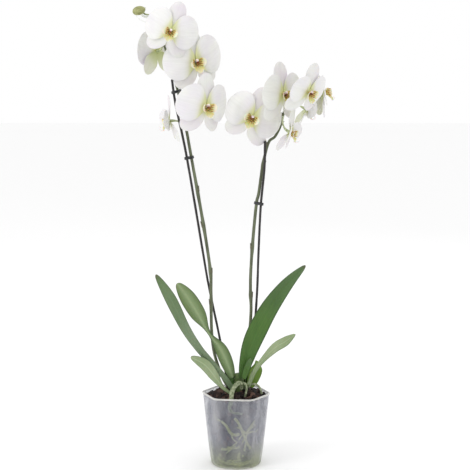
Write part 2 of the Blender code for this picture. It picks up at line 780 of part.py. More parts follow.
def pedicel_path(frame, spike, height):
    """From the back of the hub, curving to the spike, in the flower's own frame."""
    joint = at_height(spike, height)
    near = at_height(spike, height - JOINT_PROBE)
    root = frame.inverted() @ Vector(joint[:3])
    along = (root - frame.inverted() @ Vector(near[:3])).normalized()
    start = Vector((0, 0, -TEPAL_THICKNESS))
    handle = start + Vector((0, 0, -min(0.45 * (root - start).length, PEDICEL_REACH)))
    toward = (root - handle).normalized()
    slope = abs(toward.dot(along))
    square = math.sqrt(max(1 - slope * slope, LEAST_SQUARE))
    root = root - toward * (joint[3] + GAP + PEDICEL_RADIUS * slope) / square
    points = []
    for k in range(1, 5):
        t = k / 4
        bent = start.lerp(handle, t).lerp(handle.lerp(root, t), t)
        radius = lerp(HUB_RADIUS * 0.7, PEDICEL_RADIUS, min(1.0, t * 1.6))
        points.append(tuple(bent) + (radius,))
    return points


def column_path(size):
    return [(0, 1.0, 4.0, 2.2 * size), (0, 1.6, 7.5, 2.9 * size), (0, 1.2, 10.0, 1.6 * size)]


def build_flower(name, place):
    size, petal_share, openness, joint_height = place[6:]
    side = name.split("_")[1]
    spike = spike_path("spike_" + side, SPIKE_LEFT if side == "left" else SPIKE_RIGHT)
    frame = flower_frame(place)
    holder = bpy.data.objects.new(name + "_place", None)
    bpy.context.scene.collection.objects.link(holder)
    holder.location = frame.to_translation() * MM
    holder.rotation_euler = frame.to_euler()
    sepal_sweep = SWEEP * (openness if openness > 0 else CUPPED_SEPAL_SWEEP)
    sepals = whorl(sepal_lobes(size, sepal_sweep), 4, 3, 0.0)
    grow_from_face(sepals, hub_face(sepals, -1), pedicel_path(frame, spike, joint_height))
    petals = whorl(petal_lobes(size * petal_share, SWEEP * openness), 5, 4, TEPAL_THICKNESS + GAP)
    lip = whorl(lip_lobes(size), 3, 2, 2 * (TEPAL_THICKNESS + GAP))
    grow_from_face(lip, hub_face(lip, 1), column_path(size))
    pieces = (
        add_object(name + "_sepals", sepals, "petal_white"),
        add_object(name + "_petals", petals, "petal_white"),
        add_object(name + "_lip", lip, "lip_yellow"),
    )
    for piece in pieces:
        piece.parent = holder


# The unopened bud on its hooked pedicel: x, y, z above the rim, radius.
BUD = [
    (-143.3, 12, 633.6, 1.3),
    (-141, 11, 638, 1.3),
    (-142.5, 10, 642.5, 1.4),
    (-147.5, 9, 643.5, 1.8),
    (-151, 8.5, 643, 6.0),
    (-156, 8, 642, 8.4),
    (-161, 7.5, 640.5, 8.2),
    (-166, 7, 639, 5.5),
    (-169, 6.8, 638, 1.5),
]


def build_bud():
    add_object("bud_left", tube([above_rim(point) for point in BUD], BUD_SIDES), "bud_green")


def main():
    for obj in list(bpy.data.objects):
        bpy.data.objects.remove(obj, do_unlink=True)
    build_pot()
    rooms = build_roots()
    rooms.append(build_crown())
    rooms += build_spikes_and_stakes()
    build_bark(rooms)
    build_clip("clip_left", "left")
    build_clip("clip_left_top", "left")
    build_clip("clip_right", "right")
    for name, points in LEAVES.items():
        build_leaf(name, points)
    for name, place in FLOWERS.items():
        build_flower(name, place)
    build_bud()


main()
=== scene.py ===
# %% [markdown]
# # A potted moth orchid
#
# A moth orchid grows in a clear pot, because its roots take light too. Seven strap leaves, two staked
# flower spikes and a tangle of roots all come from one short crown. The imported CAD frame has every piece
# in its right place and size, but plain. This lesson makes each piece again with the surface it has in
# life: thin waxy petals, a striped lip, fleshy leaves, silvery roots, bark chips and milky plastic.

import math
import random

import bmesh
import bpy
from mathutils import Matrix, Vector, noise


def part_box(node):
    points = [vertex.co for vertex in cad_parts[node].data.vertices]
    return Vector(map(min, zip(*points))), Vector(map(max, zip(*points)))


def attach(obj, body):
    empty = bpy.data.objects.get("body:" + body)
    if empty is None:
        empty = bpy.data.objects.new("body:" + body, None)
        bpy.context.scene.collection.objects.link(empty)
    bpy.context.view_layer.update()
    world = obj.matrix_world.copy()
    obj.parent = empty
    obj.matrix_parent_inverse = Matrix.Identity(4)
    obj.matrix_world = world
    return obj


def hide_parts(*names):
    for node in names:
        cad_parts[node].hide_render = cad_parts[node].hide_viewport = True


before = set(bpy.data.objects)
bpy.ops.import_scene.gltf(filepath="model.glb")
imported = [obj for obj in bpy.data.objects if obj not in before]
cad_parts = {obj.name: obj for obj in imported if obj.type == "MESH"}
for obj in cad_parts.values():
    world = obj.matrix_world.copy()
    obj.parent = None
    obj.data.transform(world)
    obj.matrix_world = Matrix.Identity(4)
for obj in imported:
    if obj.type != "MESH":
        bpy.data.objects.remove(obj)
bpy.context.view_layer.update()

# %% [markdown]
# ## Sizes
#
# The plant's own points are in millimetres from the middle of the pot's rim, which is how a grower would
# measure them. The pot's height comes from the frame, so a new pack of another height moves the plant
# with it. A Blender scene is in metres, so each finished shape is scaled once, at the end.

# %% Sizes
MM = 0.001
pot_low, pot_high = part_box("pot")
POT_HEIGHT = (pot_high.z - pot_low.z) / MM
GAP = 0.3  # mm of air between neighbours
print("pot", round(POT_HEIGHT, 1), "mm high")


def lerp(a, b, share):
    return a + (b - a) * share


def smooth_path(points, steps):
    """Points along a Catmull-Rom curve through the given ones; each point is a tuple of any length."""
    path = []
    last = len(points) - 1
    for i in range(last):
        before = points[max(i - 1, 0)]
        after = points[min(i + 2, last)]
        for k in range(steps):
            t = k / steps
            weights = (
                (-(t**3) + 2 * t * t - t) / 2,
                (3 * t**3 - 5 * t * t + 2) / 2,
                (-3 * t**3 + 4 * t * t + t) / 2,
                (t**3 - t * t) / 2,
            )
            corners = zip(before, points[i], points[i + 1], after)
            path.append(tuple(sum(w * v for w, v in zip(weights, corner)) for corner in corners))
    path.append(tuple(points[last]))
    return path


def above_rim(point):
    """A plant point, measured from the middle of the rim, in the pot's frame."""
    return (point[0], point[1], point[2] + POT_HEIGHT) + tuple(point[3:])


# %% [markdown]
# ## Two ways to grow a shape
#
# Almost everything on a plant is either a stalk or a blade. A stalk is a circle drawn out along a curve:
# a Curve object with a bevel would do, but extruding a ring edge by edge gives each ring its own radius.
# A blade is a flat grid whose points are moved into place by a rule, then given a thickness. The grid
# also brings a UV map that runs from edge to edge and from base to tip, which is what veins follow.

# %% Stalks
def ring_frames(path):
    """One matrix for each (x, y, z, radius) point, each turned as little as possible from the last."""
    centres = [Vector(point[:3]) for point in path]
    last = len(centres) - 1
    across = (centres[1] - centres[0]).orthogonal()
    frames = []
    for i, centre in enumerate(centres):
        ahead = (centres[min(i + 1, last)] - centres[max(i - 1, 0)]).normalized()
        across = (across - ahead * across.dot(ahead)).normalized()
        up = ahead.cross(across)
        radius = path[i][3]
        placed = Matrix((across * radius, up * radius, ahead)).transposed().to_4x4()
        placed.translation = centre
        frames.append(placed)
    return frames


def extrude_ring(bm, edges):
    """Draws a ring of edges out once. Returns the new ring's points and edges."""
    grown = bmesh.ops.extrude_edge_only(bm, edges=edges)["geom"]
    ring = [item for item in grown if isinstance(item, bmesh.types.BMVert)]
    return ring, [item for item in grown if isinstance(item, bmesh.types.BMEdge) and item.is_boundary]


def close_ends(bm, first, last):
    bmesh.ops.edgeloop_fill(bm, edges=first)
    bmesh.ops.edgeloop_fill(bm, edges=last)


def sweep(bm, path, sides, look=0):
    """Draws a circle out along the path and closes both ends. Look is the number of its finish."""
    before = len(bm.faces)
    frames = ring_frames(path)
    ring = bmesh.ops.create_circle(bm, segments=sides, radius=1.0)["verts"]
    bm.edges.ensure_lookup_table()
    edges = bm.edges[len(bm.edges) - sides:]
    first = edges
    bmesh.ops.transform(bm, matrix=frames[0], verts=ring)
    for here, there in zip(frames, frames[1:]):
        ring, edges = extrude_ring(bm, edges)
        bmesh.ops.transform(bm, matrix=there @ here.inverted(), verts=ring)
    close_ends(bm, first, edges)
    bm.faces.ensure_lookup_table()
    faces = bm.faces[before:]
    bmesh.ops.recalc_face_normals(bm, faces=faces)
    for face in faces:
        face.material_index = look


# %% Blades
def blade(bm, across, along, place, thickness, back_material=0, front_material=0):
    """Bends a grid by place(u, v), u from edge to edge and v from base to tip, and thickens it backwards."""
    bm.loops.layers.uv.verify()
    before = len(bm.faces)
    grid = bmesh.ops.create_grid(bm, x_segments=across, y_segments=along, size=0.5, calc_uvs=True)
    for vert in grid["verts"]:
        vert.co = place(vert.co.x + 0.5, vert.co.y + 0.5)
    bm.faces.ensure_lookup_table()
    front = bm.faces[before:]
    for face in front:
        face.material_index = front_material
        face.normal_update()
    for vert in grid["verts"]:
        vert.normal_update()
    grown = bmesh.ops.solidify(bm, geom=front, thickness=thickness)["geom"]
    for item in grown:
        if isinstance(item, bmesh.types.BMFace):
            item.material_index = back_material


# %% Finished pieces
def keep_mesh(name, bm):
    """Writes a bmesh into a new mesh and lets the bmesh go."""
    mesh = bpy.data.meshes.new(name)
    bm.to_mesh(mesh)
    bm.free()
    return mesh


def put_in_scene(name, data):
    thing = bpy.data.objects.new(name, data)
    bpy.context.scene.collection.objects.link(thing)
    return thing


def add_piece(name, bm, materials, slot, nodes, smooth_levels=0):
    """Turns a bmesh in millimetres into a piece in metres that stands for CAD nodes."""
    bmesh.ops.scale(bm, vec=(MM, MM, MM), verts=bm.verts)
    mesh = keep_mesh(name, bm)
    for material in materials:
        mesh.materials.append(material)
    mesh.shade_smooth()
    piece = put_in_scene(name, mesh)
    if smooth_levels:
        rounding = piece.modifiers.new("rounding", "SUBSURF")
        rounding.levels = smooth_levels
        rounding.render_levels = smooth_levels
    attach(piece, "root")
    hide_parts(*nodes)
    return piece


# %% [markdown]
# ## A small kit for finishes
#
# Each finish starts from one Principled shader. Numbers that are the same all over go straight on its
# sockets. What changes over the surface, such as veins, spots and mottling, comes from a few nodes, and
# these helpers keep each finish to a handful of lines.

# %% Finish helpers
def paint(red, green, blue):
    """A colour as a paint card gives it, 0 to 255, as the linear colour that Blender works in."""
    channels = []
    for value in (red, green, blue):
        share = value / 255
        channels.append(share / 12.92 if share <= 0.04045 else ((share + 0.055) / 1.055) ** 2.4)
    return tuple(channels) + (1.0,)


def new_finish(name, colour, roughness, **sockets):
    material = bpy.data.materials.new(name)
    material.use_nodes = True
    shader = material.node_tree.nodes["Principled BSDF"]
    shader.inputs["Base Color"].default_value = colour
    shader.inputs["Roughness"].default_value = roughness
    for socket, value in sockets.items():
        shader.inputs[socket.replace("_", " ")].default_value = value
    return material


def add_node(material, kind, **settings):
    node = material.node_tree.nodes.new(kind)
    for key, value in settings.items():
        setattr(node, key, value)
    return node


def link(material, out, into):
    material.node_tree.links.new(out, into)


def shader_of(material):
    return material.node_tree.nodes["Principled BSDF"]


def coordinates(material, kind="Object", scale=(1, 1, 1)):
    """Object or UV coordinates, stretched. Object coordinates are in metres."""
    source = add_node(material, "ShaderNodeTexCoord")
    mapping = add_node(material, "ShaderNodeMapping")
    mapping.inputs["Scale"].default_value = scale
    link(material, source.outputs[kind], mapping.inputs["Vector"])
    return mapping.outputs["Vector"]


def noise_of(material, scale, detail=4.0, kind="Object", stretch=(1, 1, 1), roughness=0.55, distortion=0.0):
    """Noise of this grain over the piece, on Object or UV coordinates that may be stretched."""
    vector = coordinates(material, kind, stretch)
    node = add_node(material, "ShaderNodeTexNoise")
    node.inputs["Scale"].default_value = scale
    node.inputs["Detail"].default_value = detail
    node.inputs["Roughness"].default_value = roughness
    node.inputs["Distortion"].default_value = distortion
    link(material, vector, node.inputs["Vector"])
    return node.outputs["Fac"]


def ramp(material, factor, stops):
    """Colours or greys at places from 0 to 1."""
    node = add_node(material, "ShaderNodeValToRGB")
    elements = node.color_ramp.elements
    while len(elements) < len(stops):
        elements.new(0.5)
    for element, (place, colour) in zip(elements, stops):
        element.position = place
        element.color = colour if isinstance(colour, tuple) else (colour, colour, colour, 1.0)
    link(material, factor, node.inputs["Fac"])
    return node.outputs["Color"]


def mix(material, factor, first, second):
    """Mixes two colours. The factor and each colour are either fixed or an output."""
    node = add_node(material, "ShaderNodeMix", data_type="RGBA", blend_type="MIX")
    for value, socket in ((factor, 0), (first, 6), (second, 7)):
        if isinstance(value, bpy.types.NodeSocket):
            link(material, value, node.inputs[socket])
        else:
            node.inputs[socket].default_value = value
    return node.outputs[2]


def math_of(material, operation, first, second=0.0):
    node = add_node(material, "ShaderNodeMath", operation=operation)
    for value, socket in ((first, 0), (second, 1)):
        if isinstance(value, bpy.types.NodeSocket):
            link(material, value, node.inputs[socket])
        else:
            node.inputs[socket].default_value = value
    return node.outputs[0]


def add_share(material, base, extra, share):
    """The base with this share of something else added."""
    return math_of(material, "ADD", base, math_of(material, "MULTIPLY", extra, share))


def colour_from(material, output):
    link(material, output, shader_of(material).inputs["Base Color"])


def bump_from(material, height, strength, distance):
    node = add_node(material, "ShaderNodeBump")
    node.inputs["Strength"].default_value = strength
    node.inputs["Distance"].default_value = distance
    link(material, height, node.inputs["Height"])
    link(material, node.outputs["Normal"], shader_of(material).inputs["Normal"])


def roughness_from(material, output, low, high):
    node = add_node(material, "ShaderNodeMapRange")
    node.inputs["To Min"].default_value = low
    node.inputs["To Max"].default_value = high
    link(material, output, node.inputs["Value"])
    link(material, node.outputs["Result"], shader_of(material).inputs["Roughness"])


def off_middle_of(material, across):
    """How far across a blade a point is from its middle line: 0 on it and 0.5 at the edges."""
    return math_of(material, "ABSOLUTE", math_of(material, "SUBTRACT", across, 0.5))


def split_uv(material):
    """The two halves of the UV map: u from edge to edge, v from base to tip."""
    source = add_node(material, "ShaderNodeTexCoord")
    node = add_node(material, "ShaderNodeSeparateXYZ")
    link(material, source.outputs["UV"], node.inputs["Vector"])
    return node.outputs["X"], node.outputs["Y"]


# %% [markdown]
# ## Petal, lip and column finishes
#
# A white petal isn't plain white. It is waxy and lets light through, its veins fan out from the claw, it
# is greenish yellow round the throat, and it carries a breath of lilac. The lip is yellow at its base
# with red-brown bars and goes white at its edges, so its bars are drawn across the UV map and masked
# towards the base.

# %% Petal finish
FINE_GRAIN = 900.0


def petal_finish(name, throat, body, blush, vein, throat_end):
    """Body and blush cloud into each other, veins fan out over them, and throat fades in towards the base."""
    material = new_finish(name, body, 0.5, Subsurface_Weight=0.2, Subsurface_Scale=0.002)
    shader_of(material).inputs["Subsurface Radius"].default_value = (1.0, 0.9, 0.8)
    across, along = split_uv(material)
    soft = noise_of(material, 28.0, detail=2.0)
    tinted = mix(material, ramp(material, soft, [(0.35, 0.0), (0.7, 1.0)]), body, blush)
    fan = noise_of(material, 1.0, detail=3.0, distortion=0.25, kind="UV", stretch=(46, 1.6, 1))
    veined = mix(material, ramp(material, fan, [(0.36, 0.15), (0.62, 0.0)]), tinted, vein)
    middle = ramp(material, off_middle_of(material, across), [(0.0, 0.1), (0.06, 0.0)])
    veined = mix(material, middle, veined, vein)
    fade = [(0.0, 1.0), (throat_end * 0.4, 0.65), (throat_end * 0.7, 0.15), (throat_end, 0.0)]
    colour_from(material, mix(material, ramp(material, along, fade), veined, throat))
    fine = noise_of(material, FINE_GRAIN, detail=2.0)
    bump_from(material, add_share(material, fan, fine, 0.25), 0.35, 0.0006)
    roughness_from(material, soft, 0.42, 0.6)
    return material


VEIN = paint(196, 198, 190)
BACK_VEIN = paint(184, 190, 146)
PETAL = petal_finish(
    "petal_white", paint(208, 212, 138), paint(237, 237, 234), paint(230, 226, 232), VEIN, throat_end=0.34
)
SEPAL = petal_finish(
    "sepal_white", paint(204, 210, 140), paint(232, 233, 228), paint(227, 220, 227), VEIN, throat_end=0.32
)
SEPAL_BACK = petal_finish(
    "sepal_back", paint(186, 194, 132), paint(224, 227, 204), paint(228, 227, 218), BACK_VEIN, throat_end=0.66
)


# %% Lip finishes
def lip_finish(name, base, edge, bar, bar_end, yellow_end, bars):
    """A yellow base that fades to the edge's colour, with wavy bars across it near the base."""
    material = new_finish(name, edge, 0.38, Subsurface_Weight=0.3, Subsurface_Scale=0.002)
    across, along = split_uv(material)
    yellow = ramp(material, along, [(0.0, 1.0), (yellow_end * 0.6, 0.9), (yellow_end, 0.0)])
    ground = mix(material, yellow, edge, base)
    wobble = noise_of(material, 2.0, detail=2.0, kind="UV", stretch=(3, 6, 1))
    lines = math_of(material, "ADD", math_of(material, "MULTIPLY", across, bars), wobble)
    wave = math_of(material, "SINE", math_of(material, "MULTIPLY", lines, 2 * math.pi))
    stripes = ramp(material, wave, [(0.1, 0.0), (0.6, 1.0)])
    near = ramp(material, along, [(0.0, 1.0), (bar_end * 0.7, 0.85), (bar_end, 0.0)])
    mask = math_of(material, "MULTIPLY", stripes, near)
    colour_from(material, mix(material, mask, ground, bar))
    bump_from(material, wave, 0.25, 0.0003)
    return material


def speckled_finish(name, colour, roughness, grain, detail, spots, **sockets):
    """Spots of one colour on another. The two colours' places from 0 to 1 say how sharply they meet."""
    material = new_finish(name, colour, roughness, **sockets)
    colour_from(material, ramp(material, noise_of(material, grain, detail=detail), spots))
    return material


LIP_SIDE = lip_finish(
    "lip_side_lobe", paint(206, 200, 108), paint(236, 234, 214), paint(140, 66, 44), 0.7, 0.85, bars=4
)
LIP_MIDDLE = lip_finish(
    "lip_middle_lobe", paint(204, 200, 116), paint(232, 231, 190), paint(150, 84, 52), 0.55, 0.95, bars=3
)
CALLUS_SPOTS = [(0.46, paint(196, 164, 70)), (0.54, paint(96, 34, 28))]
COLUMN_SPOTS = [(0.4, paint(248, 244, 242)), (0.75, paint(226, 196, 206))]
# Dark red-brown for the hollow under the column's cap: partly its own marks and partly painted shade.
HOLLOW_SPOTS_AND_SHADE = [(0.4, paint(98, 44, 34)), (0.7, paint(160, 92, 56))]
CALLUS = speckled_finish("lip_callus", paint(190, 150, 60), 0.35, FINE_GRAIN, 1.0, CALLUS_SPOTS)
COLUMN = speckled_finish(
    "column_white", paint(246, 240, 240), 0.3, 300.0, 2.0, COLUMN_SPOTS,
    Subsurface_Weight=0.3, Subsurface_Scale=0.002,
)
HOLLOW_MARKS_AND_SHADE = speckled_finish("column_hollow_and_shade", paint(112, 56, 40), 0.45, 500.0, 2.0, HOLLOW_SPOTS_AND_SHADE)
print("petal and lip finishes made")

# %% [markdown]
# ## Leaf, stem, root, bark and plastic finishes
#
# Leaves are rich green above and pale sage below, with long fine veins side by side, because an orchid
# leaf's veins don't branch. Roots wear a spongy silver skin over green. The bark chips each get their
# own brown from a number stored on the chip. The pot's plastic is milky: it hides part of what is
# behind it, more where the wall is seen edge on, and algae tint it green near the bottom.

# %% Leaf finishes
def leaf_finish(name, body, pale, edge, midrib_and_highlight, roughness, tip=None, upper=None, rib_and_highlight_width=0.05):
    """Body and pale cloud into each other, edge darkens the margins and veins, and a paler band runs up the
    middle in the midrib_and_highlight colour. That band is the midrib's own colour, and where it is wide it
    is also a painted highlight along the leaf's fold.

    The leaf can turn to another colour over its upper half, and to a last one at its tip.
    """
    material = new_finish(name, body, roughness, Subsurface_Weight=0.06, Subsurface_Scale=0.002)
    shader_of(material).inputs["Specular IOR Level"].default_value = 0.35
    across, along = split_uv(material)
    cloud = noise_of(material, 26.0, detail=4.0, stretch=(1, 1, 0.4))
    ground = mix(material, ramp(material, cloud, [(0.34, 0.0), (0.66, 1.0)]), body, pale)
    lines = noise_of(material, 1.0, detail=2.0, kind="UV", stretch=(70, 1.2, 1))
    if upper:
        ground = mix(material, ramp(material, along, [(0.4, 0.0), (0.9, 0.75)]), ground, upper)
    veined = mix(material, ramp(material, lines, [(0.38, 0.4), (0.62, 0.0)]), ground, edge)
    specks = noise_of(material, FINE_GRAIN, detail=2.0)
    veined = mix(material, ramp(material, specks, [(0.6, 0.0), (0.72, 0.25)]), veined, pale)
    off_middle = off_middle_of(material, across)
    # A paler band up the middle: the midrib's own colour, with a painted highlight along the fold where the
    # band is wide.
    rib_and_highlight = ramp(material, off_middle, [(0.0, 0.8), (rib_and_highlight_width * 0.3, 0.45), (rib_and_highlight_width, 0.0)])
    with_rib_and_highlight = mix(material, rib_and_highlight, veined, midrib_and_highlight)
    rim = ramp(material, off_middle, [(0.4, 0.0), (0.5, 0.75)])
    rimmed = mix(material, rim, with_rib_and_highlight, edge)
    if tip:
        rimmed = mix(material, ramp(material, along, [(0.86, 0.0), (1.0, 0.8)]), rimmed, tip)
    colour_from(material, rimmed)
    bump_from(material, add_share(material, lines, specks, 0.4), 0.35, 0.0008)
    roughness_from(material, cloud, roughness - 0.08, roughness + 0.1)
    return material


REDDISH = paint(96, 74, 66)
DARK_EDGE = paint(52, 66, 48)
LEAF_TOP = leaf_finish(
    "leaf_top", paint(60, 96, 32), paint(80, 118, 46), paint(46, 70, 34), paint(66, 102, 38), 0.4,
    tip=REDDISH, upper=paint(98, 122, 86),
)
LEAF_LONG = leaf_finish(
    "leaf_long_top", paint(112, 134, 98), paint(136, 154, 122), DARK_EDGE, paint(104, 128, 92), 0.42,
    tip=REDDISH, upper=paint(92, 122, 66),
)
# The high leaf's broad pale band up the middle is partly its paler midrib and partly a painted highlight.
LEAF_HIGH_RIB_HIGHLIGHT = leaf_finish(
    "leaf_high_below_rib_highlight", paint(88, 114, 62), paint(116, 140, 86), DARK_EDGE, paint(154, 172, 130), 0.42,
    upper=paint(132, 152, 100), rib_and_highlight_width=0.34,
)
LEAF_BELOW = leaf_finish(
    "leaf_below", paint(142, 160, 116), paint(170, 182, 146), paint(98, 118, 82), paint(172, 186, 148), 0.5
)
LEAF_LIT = leaf_finish(
    "leaf_lit_through", paint(100, 134, 38), paint(124, 158, 50), paint(62, 90, 32), paint(140, 168, 70), 0.42
)


# %% Stem, root and stake finishes
def mottled_finish(name, dark, light, scale, stretch, roughness, bump, distance):
    """Two colours clouded into each other along the piece, with a bump of the same grain."""
    material = new_finish(name, paint(*light), roughness)
    cloud = noise_of(material, scale, detail=5.0, roughness=0.6, stretch=stretch)
    colour_from(material, ramp(material, cloud, [(0.36, paint(*dark)), (0.62, paint(*light))]))
    fine = noise_of(material, scale * 4, detail=3.0, stretch=stretch)
    bump_from(material, math_of(material, "ADD", cloud, fine), bump, distance)
    roughness_from(material, fine, roughness - 0.1, roughness + 0.12)
    return material


ALONG_Z = (1, 1, 0.12)
EVEN = (1, 1, 1)
STEM = mottled_finish("stem_skin", (72, 78, 56), (104, 112, 84), 260.0, ALONG_Z, 0.45, 0.3, 0.0004)
STALK = mottled_finish("flower_stalk", (136, 146, 104), (196, 204, 164), 180.0, EVEN, 0.45, 0.2, 0.0003)
BRACT = mottled_finish("bract", (70, 66, 56), (112, 112, 84), 400.0, EVEN, 0.6, 0.4, 0.0004)
STAKE = mottled_finish("stake_cane", (24, 22, 23), (52, 48, 49), 500.0, ALONG_Z, 0.6, 0.5, 0.0005)
CLIP = mottled_finish("clip_plastic", (34, 35, 37), (58, 60, 62), 300.0, EVEN, 0.35, 0.1, 0.0002)
ROOT = mottled_finish("root_velamen", (84, 98, 62), (168, 176, 144), 300.0, EVEN, 0.75, 0.5, 0.0006)
POT_ROOT = mottled_finish("root_in_pot", (146, 154, 86), (196, 200, 140), 300.0, EVEN, 0.7, 0.4, 0.0006)
CROWN_SKIN = mottled_finish("crown_skin", (46, 62, 30), (84, 106, 50), 180.0, ALONG_Z, 0.5, 0.4, 0.0006)
BUD_SKIN = mottled_finish("bud_skin", (136, 138, 82), (172, 174, 120), 220.0, EVEN, 0.45, 0.2, 0.0004)

# %% Bark finish
BARK = new_finish("bark_chip", paint(70, 48, 40), 0.85)
chip_shade = add_node(BARK, "ShaderNodeAttribute", attribute_name="shade")
grain = noise_of(BARK, 420.0, detail=6.0, roughness=0.7, stretch=(1, 1, 2.5))
mixed_brown = add_share(BARK, chip_shade.outputs["Fac"], grain, 0.5)
BROWNS = [
    (0.25, paint(22, 16, 16)),
    (0.55, paint(52, 35, 31)),
    (0.8, paint(98, 70, 58)),
    (1.0, paint(150, 122, 100)),
]
colour_from(BARK, ramp(BARK, math_of(BARK, "MULTIPLY", mixed_brown, 0.62), BROWNS))
bump_from(BARK, grain, 0.8, 0.0012)

# %% Pot plastic
PLASTIC = new_finish("milky_plastic", paint(196, 198, 200), 0.22, IOR=1.49)
haze = noise_of(PLASTIC, 44.0, detail=6.0, roughness=0.66, stretch=(1, 1, 0.2))
droplets = noise_of(PLASTIC, 300.0, detail=3.0)
height_of = add_node(PLASTIC, "ShaderNodeSeparateXYZ")
link(PLASTIC, coordinates(PLASTIC), height_of.inputs["Vector"])
near_base = add_node(PLASTIC, "ShaderNodeMapRange")
ALGAE_FADE = {"From Min": 0.002, "From Max": 0.05, "To Min": 1.0, "To Max": 0.0}
for fade_socket, fade_value in ALGAE_FADE.items():
    near_base.inputs[fade_socket].default_value = fade_value
link(PLASTIC, height_of.outputs["Z"], near_base.inputs["Value"])
algae = math_of(PLASTIC, "MULTIPLY", near_base.outputs["Result"], math_of(PLASTIC, "ADD", haze, 0.2))
film_share = ramp(PLASTIC, haze, [(0.36, 0.0), (0.62, 1.0)])
film = mix(PLASTIC, film_share, paint(158, 162, 176), paint(200, 201, 207))
colour_from(PLASTIC, mix(PLASTIC, algae, film, paint(150, 158, 104)))
edge_on = add_node(PLASTIC, "ShaderNodeLayerWeight")
edge_on.inputs["Blend"].default_value = 0.4
haze_cover = ramp(PLASTIC, haze, [(0.35, 0.0), (0.65, 1.0)])
droplet_cover = ramp(PLASTIC, droplets, [(0.5, 0.0), (0.7, 1.0)])
LEAST_COVER = 0.15
cover = math_of(PLASTIC, "MULTIPLY", edge_on.outputs["Facing"], 0.35)
for layer, strength in ((haze_cover, 0.16), (droplet_cover, 0.08), (algae, 0.2)):
    cover = add_share(PLASTIC, cover, layer, strength)
cover = math_of(PLASTIC, "ADD", cover, LEAST_COVER)
link(PLASTIC, cover, shader_of(PLASTIC).inputs["Alpha"])
bump_from(PLASTIC, droplets, 0.08, 0.0004)
RIM_SPOTS = [(0.3, paint(206, 205, 200)), (0.7, paint(232, 231, 226))]
RIM_PLASTIC = speckled_finish("rim_plastic", paint(220, 219, 214), 0.28, 120.0, 3.0, RIM_SPOTS, Alpha=0.8)
print("finishes:", len(bpy.data.materials))

# %% [markdown]
# ## Camera, floor and light
#
# A long lens from two and a half metres keeps the tall plant undistorted. The floor and the sky are
# white, as on a studio sweep. One soft lamp up on the left gives the petals their form, and a weaker one
# from behind lets the leaves and petals glow.

# %% Camera
CAMERA_PLACE = (-0.0017, -2.5, 0.8243)
CAMERA_DOWN = 9.75
LENS = 116.35
SENSOR_WIDTH = 36
camera_data = bpy.data.cameras.new("studio_camera")
camera_data.sensor_width = SENSOR_WIDTH
camera_data.lens = LENS
camera = put_in_scene("studio_camera", camera_data)
camera.location = CAMERA_PLACE
camera.rotation_euler = (math.radians(90 - CAMERA_DOWN), 0, 0)
bpy.context.scene.camera = camera
bpy.context.scene.view_settings.view_transform = "Standard"
print("camera at", tuple(camera.location))

# %% Floor and light
FLOOR_SIZE = 12.0
floor_bm = bmesh.new()
bmesh.ops.create_grid(floor_bm, x_segments=1, y_segments=1, size=FLOOR_SIZE / 2)
floor = put_in_scene("studio_floor", keep_mesh("studio_floor", floor_bm))
floor.data.materials.append(new_finish("studio_floor_paint", (0.96, 0.96, 0.96, 1.0), 0.9))

sky = bpy.data.worlds.new("studio_sky")
sky.use_nodes = True
sky_shader = sky.node_tree.nodes["Background"]
sky_shader.inputs["Color"].default_value = (1.0, 1.0, 1.0, 1.0)
sky_shader.inputs["Strength"].default_value = 1.0
bpy.context.scene.world = sky


def add_lamp(name, place, target, size, watts):
    data = bpy.data.lights.new(name, "AREA")
    data.size = size
    data.energy = watts
    lamp = put_in_scene(name, data)
    lamp.location = place
    lamp.rotation_euler = (Vector(target) - Vector(place)).to_track_quat("-Z", "Y").to_euler()


FLOWER_HEIGHT = 0.55
# Where each lamp hangs, how wide it is, both in metres, and its watts.
LAMPS = {"key_lamp": ((-1.6, -1.1, 1.9), 0.7, 9), "back_lamp": ((0.9, 1.5, 1.4), 0.8, 4)}
for lamp_name, (lamp_place, lamp_size, lamp_watts) in LAMPS.items():
    add_lamp(lamp_name, lamp_place, (0, 0, FLOWER_HEIGHT), lamp_size, lamp_watts)
print("lamps:", len(bpy.data.lights))

# %% [markdown]
# ## The pot's form
#
# Clear orchid pots start round at the foot and end as a long hexagon with soft corners. One formula gives
# the distance from the axis to the wall at any angle, and it turns from a circle into the hexagon on the
# way up. The shell, the bark and the roots that press against the wall all use it, so that they agree.

# %% Pot form
RIM_HALF_WIDTH = 59.0
RIM_HALF_DEPTH = 46.0
RIM_FRONT_HALF = 31.5
CORNER_SHARPNESS = 18.0
BASE_RADIUS = 42.0
BASE_CHAMFER = 3.0
POT_WALL = 1.2
POT_FLOOR = 1.8
WALL_FULL_SHARE = 0.3
WALL_CLEAR = 0.6
RIM_BEAD = 1.2
RIM_BEAD_HEIGHT = 3.0
POT_TURN = math.radians(-5.5)
MORPH_POWER = 0.8


def rim_radius(angle):
    """Distance from the axis to the long hexagon's side at this angle, with its corners rounded."""
    slant = math.hypot(RIM_HALF_WIDTH - RIM_FRONT_HALF, RIM_HALF_DEPTH)
    slant_distance = RIM_HALF_WIDTH * RIM_HALF_DEPTH / slant
    slant_angle = math.atan2(RIM_HALF_WIDTH - RIM_FRONT_HALF, RIM_HALF_DEPTH)
    sides = [(RIM_HALF_DEPTH, math.pi / 2), (RIM_HALF_DEPTH, -math.pi / 2)]
    for turn in (slant_angle, -slant_angle, math.pi - slant_angle, math.pi + slant_angle):
        sides.append((slant_distance, turn))
    total = sum((max(math.cos(angle - turn), 0.0) / distance) ** CORNER_SHARPNESS for distance, turn in sides)
    return total ** (-1 / CORNER_SHARPNESS)


